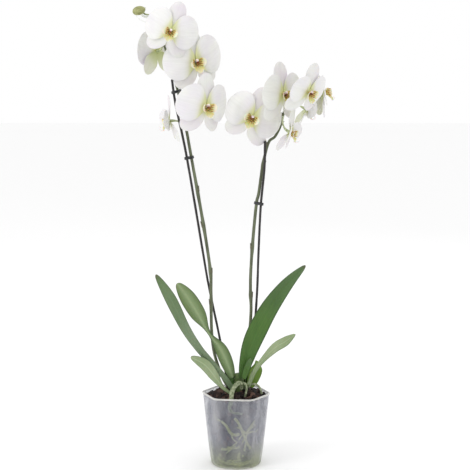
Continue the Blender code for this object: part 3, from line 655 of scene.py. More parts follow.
def pot_point(angle, z, inset=0.0):
    """A point at this angle and height, the inset inside the pot's outer wall."""
    share = min(max(z / POT_HEIGHT, 0.0), 1.0) ** MORPH_POWER
    radius = lerp(BASE_RADIUS, rim_radius(angle), share) - inset
    turned = angle + POT_TURN
    return Vector((radius * math.cos(turned), radius * math.sin(turned), z))


def wall_inset(z):
    """How far the inside of the wall lies behind the outside."""
    above_floor = (z - POT_FLOOR) / (POT_HEIGHT * WALL_FULL_SHARE - POT_FLOOR)
    return POT_WALL + BASE_CHAMFER * min(max(1 - above_floor, 0.0), 1.0)


def draw_up(bm, sides, levels, height_at=None):
    """Draws a circle up through (z, inset) levels of the pot's form. Returns its first and last edges."""
    ring = bmesh.ops.create_circle(bm, segments=sides, radius=1.0)["verts"]
    edges = first = list(bm.edges)
    for number, (z, inset) in enumerate(levels):
        if number:
            ring, edges = extrude_ring(bm, edges)
        for vert in ring:
            vert.co = pot_point(math.atan2(vert.co.y, vert.co.x) - POT_TURN, z, inset)
            if height_at:
                vert.co.z = height_at(vert.co.x, vert.co.y, vert.co.z)
    return first, edges


print("rim", round(2 * rim_radius(0), 1), "mm wide")

# %% [markdown]
# ## The pot
#
# The pot is blown or moulded in thin plastic with a rolled rim. The shell goes up the outside, over the
# rim and down the inside as one skin, so that its wall has a real thickness for light to pass through. A
# Boolean then opens the six drain slots in the floor, and its result is kept as the mesh.

# %% Pot shell
POT_SIDES = 144
FOOT_STEPS = 5
WALL_STEPS = 16
BEAD_STEPS = 6
DRAIN_SLOTS = 6
DRAIN_SLOT = (15.0, 3.4, 7.2)
DRAIN_SLOT_MIDDLE = 24.0


def pot_levels():
    levels = []
    for k in range(FOOT_STEPS + 1):
        turn = math.pi / 2 * k / FOOT_STEPS
        levels.append((BASE_CHAMFER * (1 - math.cos(turn)), BASE_CHAMFER * (1 - math.sin(turn))))
    under_bead = POT_HEIGHT - RIM_BEAD_HEIGHT
    levels += [(lerp(BASE_CHAMFER, under_bead, k / WALL_STEPS), 0.0) for k in range(1, WALL_STEPS + 1)]
    half_bead = RIM_BEAD_HEIGHT / 2
    for k in range(1, BEAD_STEPS + 1):
        turn = math.pi * k / BEAD_STEPS
        levels.append((under_bead + half_bead * (1 - math.cos(turn)), -RIM_BEAD * math.sin(turn) ** 0.5))
    levels.append((POT_HEIGHT, POT_WALL * 0.6))
    for k in range(WALL_STEPS + 1):
        z = lerp(POT_HEIGHT - 0.5, POT_FLOOR, k / WALL_STEPS)
        levels.append((z, wall_inset(z)))
    return levels


def drain_cutter():
    bm = bmesh.new()
    for number in range(DRAIN_SLOTS):
        turn = Matrix.Rotation(2 * math.pi * number / DRAIN_SLOTS, 4, "Z")
        place = turn @ Matrix.Translation((DRAIN_SLOT_MIDDLE, 0, 0)) @ Matrix.Diagonal((*DRAIN_SLOT, 1))
        bmesh.ops.create_cube(bm, size=1.0, matrix=place)
    bmesh.ops.scale(bm, vec=(MM, MM, MM), verts=bm.verts)
    return put_in_scene("drain_cutter", keep_mesh("drain_cutter", bm))


def cut_away(piece, cutter):
    """Takes the cutter away from the piece and keeps the result as the piece's own mesh."""
    slots = piece.modifiers.new("slots", "BOOLEAN")
    slots.object = cutter
    slots.solver = "EXACT"
    bpy.context.view_layer.update()
    evaluated = piece.evaluated_get(bpy.context.evaluated_depsgraph_get())
    piece.data = bpy.data.meshes.new_from_object(evaluated)
    piece.modifiers.clear()
    bpy.data.objects.remove(cutter, do_unlink=True)


pot_bm = bmesh.new()
foot_edges, floor_edges = draw_up(pot_bm, POT_SIDES, pot_levels())
close_ends(pot_bm, foot_edges, floor_edges)
bmesh.ops.recalc_face_normals(pot_bm, faces=pot_bm.faces)
for pot_face in pot_bm.faces:
    if pot_face.calc_center_median().z > POT_HEIGHT - RIM_BEAD_HEIGHT:
        pot_face.material_index = 1
pot_shell = add_piece("pot_shell", pot_bm, [PLASTIC, RIM_PLASTIC], "clear_plastic", ["pot"])
cut_away(pot_shell, drain_cutter())
pot_shell.data.set_sharp_from_angle(angle=math.radians(50))
print("pot shell:", len(pot_shell.data.polygons), "faces")

# %% [markdown]
# ## Bark
#
# The pot is packed with pine bark. A dark core fills the middle, where nobody can see in, and chips cover
# its top and press against the wall. Five template chips are cubes that are subdivided, rounded and
# jittered. Each copy gets its own turn, size and shade, so some hundreds of them cost little.

# %% Bark core
BARK_HEADSPACE = 11.0
BARK_CROWN_RISE = 13.0
BARK_LUMP = 2.2
POT_ROOT_RADIUS = 2.5
CORE_INSET = POT_WALL + WALL_CLEAR + 2 * POT_ROOT_RADIUS + 1.5
CORE_DEPTH = 3.0
CORE_STEP = 8.0
CORE_SIDES = 48


def bark_height(x, y):
    """Height of the bark: low along the rim, heaped round the crown, and uneven."""
    reach = math.hypot(x / RIM_HALF_WIDTH, y / RIM_HALF_DEPTH)
    heap = BARK_CROWN_RISE * max(0.0, 1 - reach * reach)
    lumps = BARK_LUMP * math.sin(0.23 * x + 1.0) * math.cos(0.27 * y - 0.4)
    return POT_HEIGHT - BARK_HEADSPACE + heap + lumps


def core_height(x, y, z):
    return bark_height(x, y) - CORE_DEPTH if z > POT_HEIGHT * 0.7 else z


core_bm = bmesh.new()
core_heights = (POT_FLOOR + GAP, POT_HEIGHT * WALL_FULL_SHARE, POT_HEIGHT * 0.6)
core_levels = [(z, CORE_INSET) for z in core_heights]
core_levels += [(POT_HEIGHT - BARK_HEADSPACE, CORE_INSET + step * CORE_STEP) for step in range(5)]
low_edges, top_edges = draw_up(core_bm, CORE_SIDES, core_levels, core_height)
close_ends(core_bm, low_edges, top_edges)
bmesh.ops.recalc_face_normals(core_bm, faces=core_bm.faces)
add_piece("bark_core", core_bm, [BARK], "bark", ["bark_bed"])
print("bark core made")

# %% Roots against the wall
POT_ROOTS = {
    "pot_root_left": [(236, 84, 0), (247, 76, 0), (257, 64, 0), (268, 60, 1), (279, 62, 2)],
    "pot_root_knot": [(266, 90, 0.5), (277, 80, 0), (287, 62, 0), (297, 44, 0), (306, 34, 0)],
    "pot_root_cross": [(318, 76, 0), (304, 68, 5.6), (288, 60, 6)]
    + [(270, 44, 5.6), (250, 34, 3), (232, 34, 0)],
    "pot_root_down": [(290, 54, 12), (284, 40, 9), (279, 26, 4), (276, 17, 0)],
    "pot_root_base": [(212, 15, 1), (235, 10, 1), (262, 8, 1), (290, 9, 1), (315, 13, 1), (340, 18, 1)],
}


def wall_path(points, radius, steps):
    """A root's path along the pot's inside: (angle in degrees, height, depth behind the wall) points."""
    path = []
    for angle, z, depth in smooth_path(points, steps):
        inset = wall_inset(z) + WALL_CLEAR + radius + depth
        path.append(tuple(pot_point(math.radians(angle) - POT_TURN, z, inset)) + (radius,))
    return path


def rounded_ends(path, share=0.35):
    """Draws the first and last rings in, so that a stalk ends round."""
    first = path[0][:3] + (path[0][3] * share,)
    last = path[-1][:3] + (path[-1][3] * share,)
    return [first] + path[1:-1] + [last]


def uneven(path, amount, spacing):
    """Swells and pinches a stalk along its length."""
    return [p[:3] + (p[3] * (1 + amount * noise.noise(Vector(p[:3]) / spacing)),) for p in path]


def roughen(bm, amount, spacing):
    """Pushes every point in or out a little along its normal, by smooth noise."""
    bm.normal_update()
    for vert in bm.verts:
        vert.co += vert.normal * amount * noise.noise(vert.co / spacing)


def add_roots(ending, node, paths, skin, sides, swell, spacing, grain=(0.25, 2.5)):
    """Sweeps uneven roots into one piece. Swell is a share of the radius; spacing and grain are in mm."""
    bm = bmesh.new()
    for path in paths:
        sweep(bm, rounded_ends(uneven(path, swell, spacing)), sides)
    roughen(bm, *grain)
    add_piece(node + ending, bm, [skin], "root_skin", [node], smooth_levels=1)


ROOT_STEPS = 8
pot_root_paths = {name: wall_path(points, POT_ROOT_RADIUS, ROOT_STEPS) for name, points in POT_ROOTS.items()}
for root_name, root_path in pot_root_paths.items():
    add_roots("_grown", root_name, [root_path], POT_ROOT, sides=12, swell=0.22, spacing=9.0)
# Side roots that leave the knot or circle the foot: angle, height and depth points, then the radius.
ROOTLETS = {
    "pot_root_knot": [
        ([(294, 62, 4), (302, 72, 2), (317, 84, 1)], 2.0),
        ([(294, 62, 4), (308, 64, 2), (326, 62, 2), (338, 70, 2)], 1.6),
        ([(294, 62, 4), (286, 68, 4), (276, 73, 3), (262, 71, 3)], 1.4),
    ],
    "pot_root_down": [
        ([(296, 66, 4), (293, 44, 2), (287, 20, 1)], 1.7),
        ([(294, 56, 5), (280, 40, 3), (262, 36, 2), (244, 40, 2)], 1.7),
        ([(270, 40, 3), (250, 30, 2), (236, 22, 2)], 1.2),
    ],
    "pot_root_base": [
        ([(225, 24, 1), (244, 14, 2), (268, 14, 2), (292, 17, 2)], 1.2),
        ([(250, 18, 2), (275, 6, 2), (300, 7, 2), (325, 12, 1)], 1.4),
        ([(20, 20, 1), (60, 12, 1), (110, 10, 1), (160, 14, 1), (195, 30, 1)], 2.0),
        ([(100, 60, 1), (130, 44, 1), (150, 24, 1), (175, 12, 1)], 2.0),
    ],
    "pot_root_left": [
        ([(212, 92, 1), (222, 88, 1), (236, 84, 0)], 1.8),
        ([(257, 64, 2), (262, 54, 2), (272, 47, 2)], 1.3),
    ],
}
for root_name, rootlets in ROOTLETS.items():
    side_paths = [wall_path(points, radius, ROOT_STEPS) for points, radius in rootlets]
    add_roots("_side_roots", root_name, side_paths, POT_ROOT, sides=10, swell=0.3, spacing=6.0)
rootlet_count = sum(len(rootlets) for rootlets in ROOTLETS.values())
print("roots against the wall:", len(pot_root_paths), "with", rootlet_count, "side roots")

# %% Bark chips
CHIP_LENGTH = (9.0, 15.0)
CHIP_WIDTH = (6.0, 10.0)
CHIP_THICK = (3.0, 4.6)
TOP_CHIPS = 230
WALL_CHIPS = 560
ROOT_CLEAR = 7.0
CHIP_VERTS = 26
CHIP_JITTER = 0.09
CHIP_ROUNDING = 0.16
CHIP_CORNER = 0.866  # from the middle of a cube of side 1 to its corner
TOP_TILT = 1.1
TOP_DEPTHS = (-1.0, 3.5)
WALL_DEPTHS = (0.0, 2.5)
BEHIND_ROOT = 6.0
chip_random = random.Random(11)


def chip_template():
    bm = bmesh.new()
    bmesh.ops.create_cube(bm, size=1.0)
    bmesh.ops.subdivide_edges(bm, edges=bm.edges, cuts=1, use_grid_fill=True)
    for vert in bm.verts:
        pull = 1 - CHIP_ROUNDING * (vert.co.length / CHIP_CORNER) ** 4
        jitter = Vector([chip_random.uniform(-CHIP_JITTER, CHIP_JITTER) for _ in range(3)])
        vert.co = vert.co * pull + jitter
    return keep_mesh("chip_template", bm)


def place_chip(bm, shade_layer, templates, centre, normal):
    """Adds one chip that lies square to this normal."""
    spin = Matrix.Rotation(chip_random.uniform(0, 2 * math.pi), 4, "Z")
    size = [chip_random.uniform(*limits) for limits in (CHIP_LENGTH, CHIP_WIDTH, CHIP_THICK)]
    lie = normal.to_track_quat("Z", "Y").to_matrix().to_4x4()
    place = Matrix.Translation(centre) @ lie @ spin @ Matrix.Diagonal((*size, 1))
    shade = chip_random.random()
    bm.from_mesh(chip_random.choice(templates))
    bm.verts.ensure_lookup_table()
    chip = bm.verts[-CHIP_VERTS:]
    for vert in chip:
        vert[shade_layer] = shade
    bmesh.ops.transform(bm, matrix=place, verts=chip)


chip_templates = [chip_template() for _ in range(5)]
chips_bm = bmesh.new()
chip_shades = chips_bm.verts.layers.float.new("shade")
root_points = [Vector(point[:3]) for path in pot_root_paths.values() for point in path]
for _ in range(TOP_CHIPS):
    chip_angle = chip_random.uniform(0, 2 * math.pi)
    edge_point = pot_point(chip_angle, POT_HEIGHT - BARK_HEADSPACE, POT_WALL + 5.0)
    spot = edge_point * math.sqrt(chip_random.random())
    spot.z = bark_height(spot.x, spot.y) - chip_random.uniform(*TOP_DEPTHS)
    tilt = Vector((chip_random.uniform(-TOP_TILT, TOP_TILT), chip_random.uniform(-TOP_TILT, TOP_TILT), 1.0))
    place_chip(chips_bm, chip_shades, chip_templates, spot, tilt.normalized())
for _ in range(WALL_CHIPS):
    chip_angle = chip_random.uniform(0, 2 * math.pi)
    z = chip_random.uniform(POT_FLOOR + 7.0, POT_HEIGHT - BARK_HEADSPACE - 4.0)
    depth = wall_inset(z) + 3.6 + chip_random.uniform(*WALL_DEPTHS)
    spot = pot_point(chip_angle, z, depth)
    if min((spot - point).length for point in root_points) < ROOT_CLEAR:
        spot = pot_point(chip_angle, z, depth + BEHIND_ROOT)
    outward = Vector((spot.x, spot.y, chip_random.uniform(-6, 6))).normalized()
    place_chip(chips_bm, chip_shades, chip_templates, spot, outward)
bmesh.ops.recalc_face_normals(chips_bm, faces=chips_bm.faces)
for template in chip_templates:
    bpy.data.meshes.remove(template)
bark_chips = add_piece("bark_chips", chips_bm, [BARK], "bark", ["bark_bed"])
bark_chips.data.set_sharp_from_angle(angle=math.radians(38))
print("bark chips:", TOP_CHIPS + WALL_CHIPS, "with", len(bark_chips.data.polygons), "faces")

# %% [markdown]
# ## Aerial roots
#
# Some roots climb out of the bark, arch over it and go back down. Their skin is velamen, a spongy
# silver layer that swells where it is wet. A swept circle with an uneven radius gives the run of a root,
# and noise along the normals gives its skin.

# %% Aerial roots
ROOT_RADIUS = 3.6
ARCH_ABOVE = [(9, -12, 8), (9, -20, 19), (4, -27, 23), (-3, -33, 17), (-7, -36, 8)]
ARCH_INSIDE = [(258, -7, 0), (254, -17, 0), (262, -24, 0), (275, -26, 0), (289, -27, 0)]
ARCH_RADII = [0.75, 0.9, 1.05, 1.1, 1.1, 1.0, 0.95, 0.8, 0.75, 0.6]
ROOT_LOOPS = {
    "aerial_root_curl": [(12, -16, 20), (16, -22, 20), (18, -24, 14), (17, -24, 7), (15, -23, -4)],
    "aerial_root_side": [(20, -6, 9), (27, -9, 16), (35, -9, 15), (41, -7, 8), (44, -5, -4)],
}
arch = list(ARCH_ABOVE)
for degrees, z, depth in ARCH_INSIDE:
    arch_inset = POT_WALL + WALL_CLEAR + ROOT_RADIUS * 1.1 + depth
    arch_point = pot_point(math.radians(degrees) - POT_TURN, POT_HEIGHT + z, arch_inset)
    arch.append((arch_point.x, arch_point.y, z))
arch = [point + (ROOT_RADIUS * share,) for point, share in zip(arch, ARCH_RADII)]
aerial_paths = {"aerial_root_front": smooth_path(arch, 10)}
for root_name, root_loop in ROOT_LOOPS.items():
    aerial_paths[root_name] = smooth_path([point + (ROOT_RADIUS * 0.5,) for point in root_loop], 10)
for root_name, root_path in aerial_paths.items():
    raised = [above_rim(point) for point in root_path]
    add_roots("_grown", root_name, [raised], ROOT, sides=16, swell=0.18, spacing=8.0, grain=(0.3, 2.6))
print("aerial roots:", len(aerial_paths))

# %% [markdown]
# ## Crown
#
# The crown is the short stem that everything grows from, wrapped in the bases of old leaves. A swept
# circle gives the stem. The old bases are short blades wrapped round it, each at its own height. One
# rule wraps them, and the same rule later wraps the dry scales round the flower spikes.

# %% Crown
CROWN = [(7, 2, -22), (6.5, 1, 0), (5.5, 1, 18), (5.5, 2, 33)]
CROWN_RADIUS = 8.5
# The side each old leaf base looks to in degrees, then its height above the rim, length and radius in mm.
SHEATHS = ((200, 2, 20, 9.6), (20, 5, 18, 9.4), (110, 8, 16, 9.2), (290, 0, 17, 10.0), (245, 12, 14, 9.0))
SHEATH_SPREAD = math.radians(75)
SHEATH_FLARE = 1.6
SHEATH_SKIN = 0.8
SHEATH_GRID = (10, 8)
UP = Vector((0, 0, 1))


def wrapped_place(base, up, degrees, length, radius, flare, spread, narrowing):
    """The rule that wraps a blade round a stem, on the side at this angle; it narrows towards its tip."""
    out = Matrix.Rotation(math.radians(degrees), 3, "Z") @ Vector((1, 0, 0))
    out = (out - up * out.dot(up)).normalized()
    side = up.cross(out)

    def place(u, v):
        turn = (2 * u - 1) * spread * narrowing(v)
        reach = radius + flare * v * v
        return base + (out * math.cos(turn) + side * math.sin(turn)) * reach + up * length * v

    return place


def round_tip(v):
    return math.sqrt(1 - v * v)


def pointed_tip(v):
    return math.sqrt(max(1 - v, 0.004))


crown_bm = bmesh.new()
crown_path = [above_rim(point + (CROWN_RADIUS,)) for point in CROWN]
sweep(crown_bm, rounded_ends(smooth_path(crown_path, 6), 0.6), 24)
roughen(crown_bm, 0.8, 6.0)
for degrees, low, tall, radius in SHEATHS:
    sheath_base = Vector(above_rim((6, 1, low)))
    rule = wrapped_place(sheath_base, UP, degrees, tall, radius, SHEATH_FLARE, SHEATH_SPREAD, round_tip)
    blade(crown_bm, *SHEATH_GRID, rule, SHEATH_SKIN)
add_piece("crown_stem", crown_bm, [CROWN_SKIN], "stem_green", ["crown"], smooth_levels=1)
print("crown sheaths:", len(SHEATHS))

# %% [markdown]
# ## Leaves
#
# A moth orchid's leaf is a thick strap with a gutter down its middle and a blunt tip. Each leaf is one
# blade along its midrib. The rule lifts the edges for the gutter, sinks a groove along the middle and
# lets the edges wander a little. Rows are closer together at the tip, where the outline turns.

# %% Leaf shapes
LEAF_THICKNESS = 1.7
LEAF_FOLD = 0.22
LEAF_TIP_START = 0.78
LEAF_TIP_LEAST = 0.05
GUTTER_ROUNDING = 0.02
RIB_DEPTH = 0.45
RIB_WIDTH = 0.1
EDGE_WAVE = 0.05
EDGE_DROOP = 0.06
WAVES = 9
DIRECTION_STEP = 0.02
LEAF_GRID = (16, 44)
STUB_GRID = (10, 12)
# Points up each midrib: x, y, z above the rim and half width in mm, and the blade's turn in degrees.
LEAVES = {
    "leaf_left_long": [
        (-6, -11, 8, 4.5, 100), (-18, -16, 28, 4.8, 95), (-41, -27, 58, 5.5, 85),
        (-61, -37, 84, 6.3, 75), (-83, -49, 121, 8.0, 72), (-108, -61, 176, 9.8, 72),
        (-131, -67, 217, 7.0, 72),
    ],
    "leaf_left_high": [
        (-6, -4, 26, 6.0, 100), (-14, -7, 50, 10.5, 85), (-27, -10, 80, 10.5, 70),
        (-45, -12, 106, 3.6, 50), (-62, -14, 136, 13.0, 78), (-81, -18, 168, 13.8, 80),
        (-98, -22, 193, 10.0, 80),
    ],
    "leaf_left_small": [
        (-9, -17, 2, 3.0, 110), (-23, -24, 15, 3.5, 100), (-36, -32, 36, 8.0, 85),
        (-52, -39, 58, 9.5, 75), (-75, -48, 74, 6.0, 70),
    ],
    "leaf_right_big": [
        (11, -10, 26, 6.0, 85), (15, -9, 48, 10.5, 82), (24, -6, 80, 15.0, 80), (38, -2, 112, 16.8, 78),
        (58, 6, 147, 15.5, 76), (87, 18, 184, 11.0, 74), (118, 32, 213, 6.5, 72),
    ],
    "leaf_right_low": [
        (21, -11, 14, 3.5, 80), (30, -14, 38, 4.2, 75), (44, -20, 60, 5.0, 65), (65, -28, 84, 8.5, 62),
        (83, -34, 97, 8.5, 62), (98, -39, 110, 4.0, 62),
    ],
    "leaf_right_back": [
        (23, 3, 8, 6.0, 82), (29, 5, 22, 11.0, 82), (34, 8, 38, 12.0, 80), (35, 10, 52, 9.0, 78),
    ],
    "leaf_right_inner": [
        (13, -17, 27, 3.0, 85), (16, -17, 38, 5.0, 82), (20, -17, 50, 5.0, 80), (25, -16, 62, 3.5, 78),
    ],
}


def along_path(path, share):
    """The point this share of the way along a path, with whatever else each point carries."""
    place = share * (len(path) - 1)
    index = min(int(place), len(path) - 2)
    return [lerp(a, b, place - index) for a, b in zip(path[index], path[index + 1])]


def leaf_tip(share):
    """Rounds the end of a leaf: 1 until the tip starts, then down along a quarter ellipse."""
    past = max(0.0, share - LEAF_TIP_START) / (1 - LEAF_TIP_START)
    return max(math.sqrt(max(0.0, 1 - past * past)), LEAF_TIP_LEAST)


def leaf_place(points, wander):
    path = [above_rim(point) for point in smooth_path(points, 12)]

    def place(u, v):
        share = 1 - (1 - v) ** 1.5
        x, y, z, half_width, turn = along_path(path, share)
        behind = Vector(along_path(path, max(share - DIRECTION_STEP, 0.0))[:3])
        before = Vector(along_path(path, min(share + DIRECTION_STEP, 1.0))[:3])
        ahead = (before - behind).normalized()
        level = ahead.cross(UP).normalized()
        side = Matrix.Rotation(math.radians(turn), 3, ahead) @ level
        face = side.cross(ahead)
        width = half_width * leaf_tip(share)
        t = 2 * u - 1
        gutter = LEAF_FOLD * width * (math.sqrt(t * t + GUTTER_ROUNDING) - 0.14)
        groove = -RIB_DEPTH * math.exp(-((t / RIB_WIDTH) ** 2)) * min(1.0, width / 5)
        wave = EDGE_WAVE * width * t * abs(t) * math.sin(WAVES * share + wander)
        droop = EDGE_DROOP * width * t**4
        return Vector((x, y, z)) + side * t * width + face * (gutter + groove + wave - droop)

    return place


def leaf_front(points):
    """1 where the leaf's gutter side faces the front of the scene, and -1 where its back does."""
    place = leaf_place(points, 0.0)
    across = place(0.7, 0.6) - place(0.3, 0.6)
    along = place(0.5, 0.65) - place(0.5, 0.55)
    return 1 if across.cross(along).y < 0 else -1


# %% Leaf pieces
# Short bases of leaves that fell or were cut, as midribs like the leaves' own.
STUBS = (
    [(-1, -2, 6, 6.5, 100), (-7, -3, 18, 7.0, 92), (-13, -4, 31, 6.0, 85)],
    [(2, 8, 6, 6.5, 80), (-3, 11, 20, 7.0, 80), (-9, 13, 32, 6.0, 80)],
    [(14, 6, 6, 6.0, 80), (18, 8, 20, 6.5, 80), (20, 9, 30, 5.0, 80)],
)
stubs_bm = bmesh.new()
for stub in STUBS:
    blade(stubs_bm, *STUB_GRID, leaf_place(stub, 0.5), LEAF_THICKNESS)
add_piece("crown_leaf_bases", stubs_bm, [LEAF_TOP], "stem_green", ["crown"], smooth_levels=1)
print("old leaf bases:", len(STUBS))

LEAF_LOOKS = {
    "leaf_left_long": (LEAF_LONG, LEAF_BELOW),
    "leaf_left_high": (LEAF_HIGH_RIB_HIGHLIGHT, LEAF_TOP),
    "leaf_left_small": (LEAF_BELOW, LEAF_TOP),
    "leaf_right_big": (LEAF_TOP, LEAF_BELOW),
    "leaf_right_low": (LEAF_BELOW, LEAF_TOP),
    "leaf_right_back": (LEAF_LIT, LEAF_TOP),
    "leaf_right_inner": (LEAF_TOP, LEAF_BELOW),
}
PALE_LEAVES = ("leaf_left_small", "leaf_right_inner")
for number, (leaf_name, leaf_points) in enumerate(LEAVES.items()):
    leaf_bm = bmesh.new()
    blade(leaf_bm, *LEAF_GRID, leaf_place(leaf_points, 1.7 * number), LEAF_THICKNESS, back_material=1)
    leaf_slot = "leaf_underside" if leaf_name in PALE_LEAVES else "leaf_green"
    facing = leaf_front(leaf_points)
    looks = LEAF_LOOKS[leaf_name][::facing]
    add_piece(leaf_name + "_blade", leaf_bm, looks, leaf_slot, [leaf_name], smooth_levels=1)
    print(leaf_name, "gutter faces the front" if facing > 0 else "back faces the front")

# %% [markdown]
# ## Spikes
#
# A flower spike is a thin round stem with a swollen joint every hand's width, each wrapped in a small dry
# scale. The taper and the swellings go into the swept circle's radius. The scales are little blades bent
# round the stem.

# %% Spike paths
STEM_RADIUS = 2.7
STEM_TIP_RADIUS = 1.5
NODE_SWELL = 0.35
NODE_REACH = 7.0
SPIKES = {
    "spike_left": [
        (-9, 4, 6), (-20, 3, 19), (-35, 2, 60), (-41, 1, 104), (-42, 0, 175), (-43, 0, 210),
        (-54, 0, 286), (-73.5, 1, 398), (-85, 3, 463), (-95, 6, 507), (-105, 10, 541), (-118, 14, 584),
        (-131, 14, 613), (-143, 12, 632),
    ],
    "spike_right": [
        (13, 13, 14), (18, 15, 50), (22, 18, 88), (25.5, 19, 137), (24.5, 17, 174), (25, 15, 208),
        (28.5, 12, 262), (34, 8, 322), (38, 10, 340), (45, 12, 388), (54, 14, 424), (65, 18, 434),
        (75, 26, 453), (81.5, 31, 478), (93, 36, 485), (106, 39, 491), (119, 39, 495), (130, 35, 498),
    ],
}
SPIKE_NODES = {"spike_left": (154, 286, 346, 208), "spike_right": (247, 163, 388)}


def stem_radius(share, height, nodes):
    """Tapers from base to tip and swells a little at each node."""
    radius = lerp(STEM_RADIUS, STEM_TIP_RADIUS, max(0.0, share - 0.5) * 2)
    swell = max(math.exp(-(((height - node) / NODE_REACH) ** 2)) for node in nodes)
    return radius * (1 + NODE_SWELL * swell)


def spike_path(name, steps):
    path = smooth_path(SPIKES[name], steps)
    last = len(path) - 1
    return [above_rim(p + (stem_radius(i / last, p[2], SPIKE_NODES[name]),)) for i, p in enumerate(path)]


def at_height(path, height):
    """The (x, y, z, radius) point of the path at this height above the rim."""
    z = height + POT_HEIGHT
    for near, far in zip(path, path[1:]):
        if min(near[2], far[2]) <= z <= max(near[2], far[2]):
            share = (z - near[2]) / (far[2] - near[2])
            return [lerp(a, b, share) for a, b in zip(near, far)]
    return list(path[-1])


# %% Spikes
SCALE_SPREAD = math.radians(105)
SCALE_CLEAR = 0.45
SCALE_SKIN = 0.35
SCALE_GRID = (8, 6)
STEM_SIDES = 16
# Height above the rim, the side it looks to in degrees (0 right, 90 back), length and flare, in mm.
SCALES = {
    "spike_left": [(152, 180, 10, 0.6), (206, 0, 9, 0.5), (284, 180, 11, 0.6), (344, 0, 10, 0.6)]
    + [(453, 0, 6, 1.5), (478, 180, 7, 1.6), (507, 0, 7, 2.6), (540, 180, 6, 1.4), (583, 0, 6, 1.6)]
    + [(587, 160, 6, 1.2), (611, 20, 5, 1.2)],
    "spike_right": [(161, 0, 10, 0.6), (245, 180, 10, 0.6), (386, 20, 9, 1.0)]
    + [(419, 200, 6, 1.6), (454, 0, 6, 1.6), (467, 180, 6, 1.6), (487, 90, 5, 1.4), (494, 90, 5, 1.2)],
}


def scale_place(path, height, degrees, length, flare):
    low = at_height(path, height)
    base = Vector(low[:3])
    up = (Vector(at_height(path, height + 2)[:3]) - base).normalized()
    return wrapped_place(base, up, degrees, length, low[3] + SCALE_CLEAR, flare, SCALE_SPREAD, pointed_tip)


for spike_name in SPIKES:
    spike_bm = bmesh.new()
    stem_path = spike_path(spike_name, 8)
    sweep(spike_bm, rounded_ends(stem_path, 0.5), STEM_SIDES)
    roughen(spike_bm, 0.12, 4.0)
    for scale in SCALES[spike_name]:
        rule = scale_place(stem_path, *scale)
        blade(spike_bm, *SCALE_GRID, rule, SCALE_SKIN, back_material=1, front_material=1)
    add_piece(spike_name + "_stem", spike_bm, [STEM, BRACT], "stem_green", [spike_name], smooth_levels=1)
    print(spike_name, "scales:", len(SCALES[spike_name]))

# %% [markdown]
# ## Stakes and clips
#
# Each spike leans on a dark cane, and small plastic clips hold the two together. A cane is a swept circle
# with flat ends. A clip is a band round both stems with two finger tabs, so its outline is an oval ring
# that is drawn up, thickened and bevelled.

# %% Stakes
STAKE_RADIUS = 2.0
STAKE_DEPTH = 96.0
STAKE_SIDES = 14
STAKES = {
    "stake_left": [(5, 17), (-19, 13), (-27, 11), (-45, 8), (-51, 7), (-81, -2), (-99, -4), (-105, -4)],
    "stake_right": [(11, 24), (20, 22), (27, 21), (35, 17), (38, 13), (41.5, 8), (47, 3), (48, 3)],
}
STAKE_HEIGHTS = {
    "stake_left": (-STAKE_DEPTH, 38, 88, 178, 212, 399, 488, 530),
    "stake_right": (-STAKE_DEPTH, 28, 58, 158, 243, 321, 380, 428),
}


def stake_path(name, steps):
    points = [(x, y, z, STAKE_RADIUS) for (x, y), z in zip(STAKES[name], STAKE_HEIGHTS[name])]
    return [above_rim(point) for point in smooth_path(points, steps)]


for stake_name in STAKES:
    stake_bm = bmesh.new()
    sweep(stake_bm, uneven(stake_path(stake_name, 12), 0.08, 20.0), STAKE_SIDES)
    roughen(stake_bm, 0.14, 3.0)
    stake = add_piece(stake_name + "_cane", stake_bm, [STAKE], "stake_dark", [stake_name])
    stake.data.set_sharp_from_angle(angle=math.radians(50))
print("stakes:", len(STAKES))

# %% Clips
CLIP_HEIGHTS = {"clip_left": 400, "clip_left_top": 509, "clip_right": 322}
CLIP_HEIGHT = 4.5
CLIP_WALL = 1.1
CLIP_SLACK = 0.7
CLIP_TAB = (2.6, 6.5, 4.0)
TAB_APART = 1.9
TAB_OVERLAP = 0.6
TAB_TURN = math.radians(12)
CLIP_EDGE = 0.45


def clip_frame(name):
    """The clip's place, its axes as a matrix, half the way from stake to stem, and its inner radius."""
    side = name.split("_")[1]
    stem_line = spike_path("spike_" + side, 2)
    stem = at_height(stem_line, CLIP_HEIGHTS[name])
    over = at_height(stem_line, CLIP_HEIGHTS[name] + 10)
    stake_point = at_height(stake_path("stake_" + side, 2), CLIP_HEIGHTS[name])
    start = Vector(stake_point[:3])
    end = Vector(stem[:3])
    up = (Vector(over[:3]) - end).normalized()
    along = end - start
    along = (along - up * along.dot(up)).normalized()
    out = up.cross(along)
    half = (end - start).dot(along) / 2
    placed = Matrix((along, out, up)).transposed().to_4x4()
    placed.translation = start + along * half
    return placed, half, max(stem[3], stake_point[3]) + CLIP_SLACK


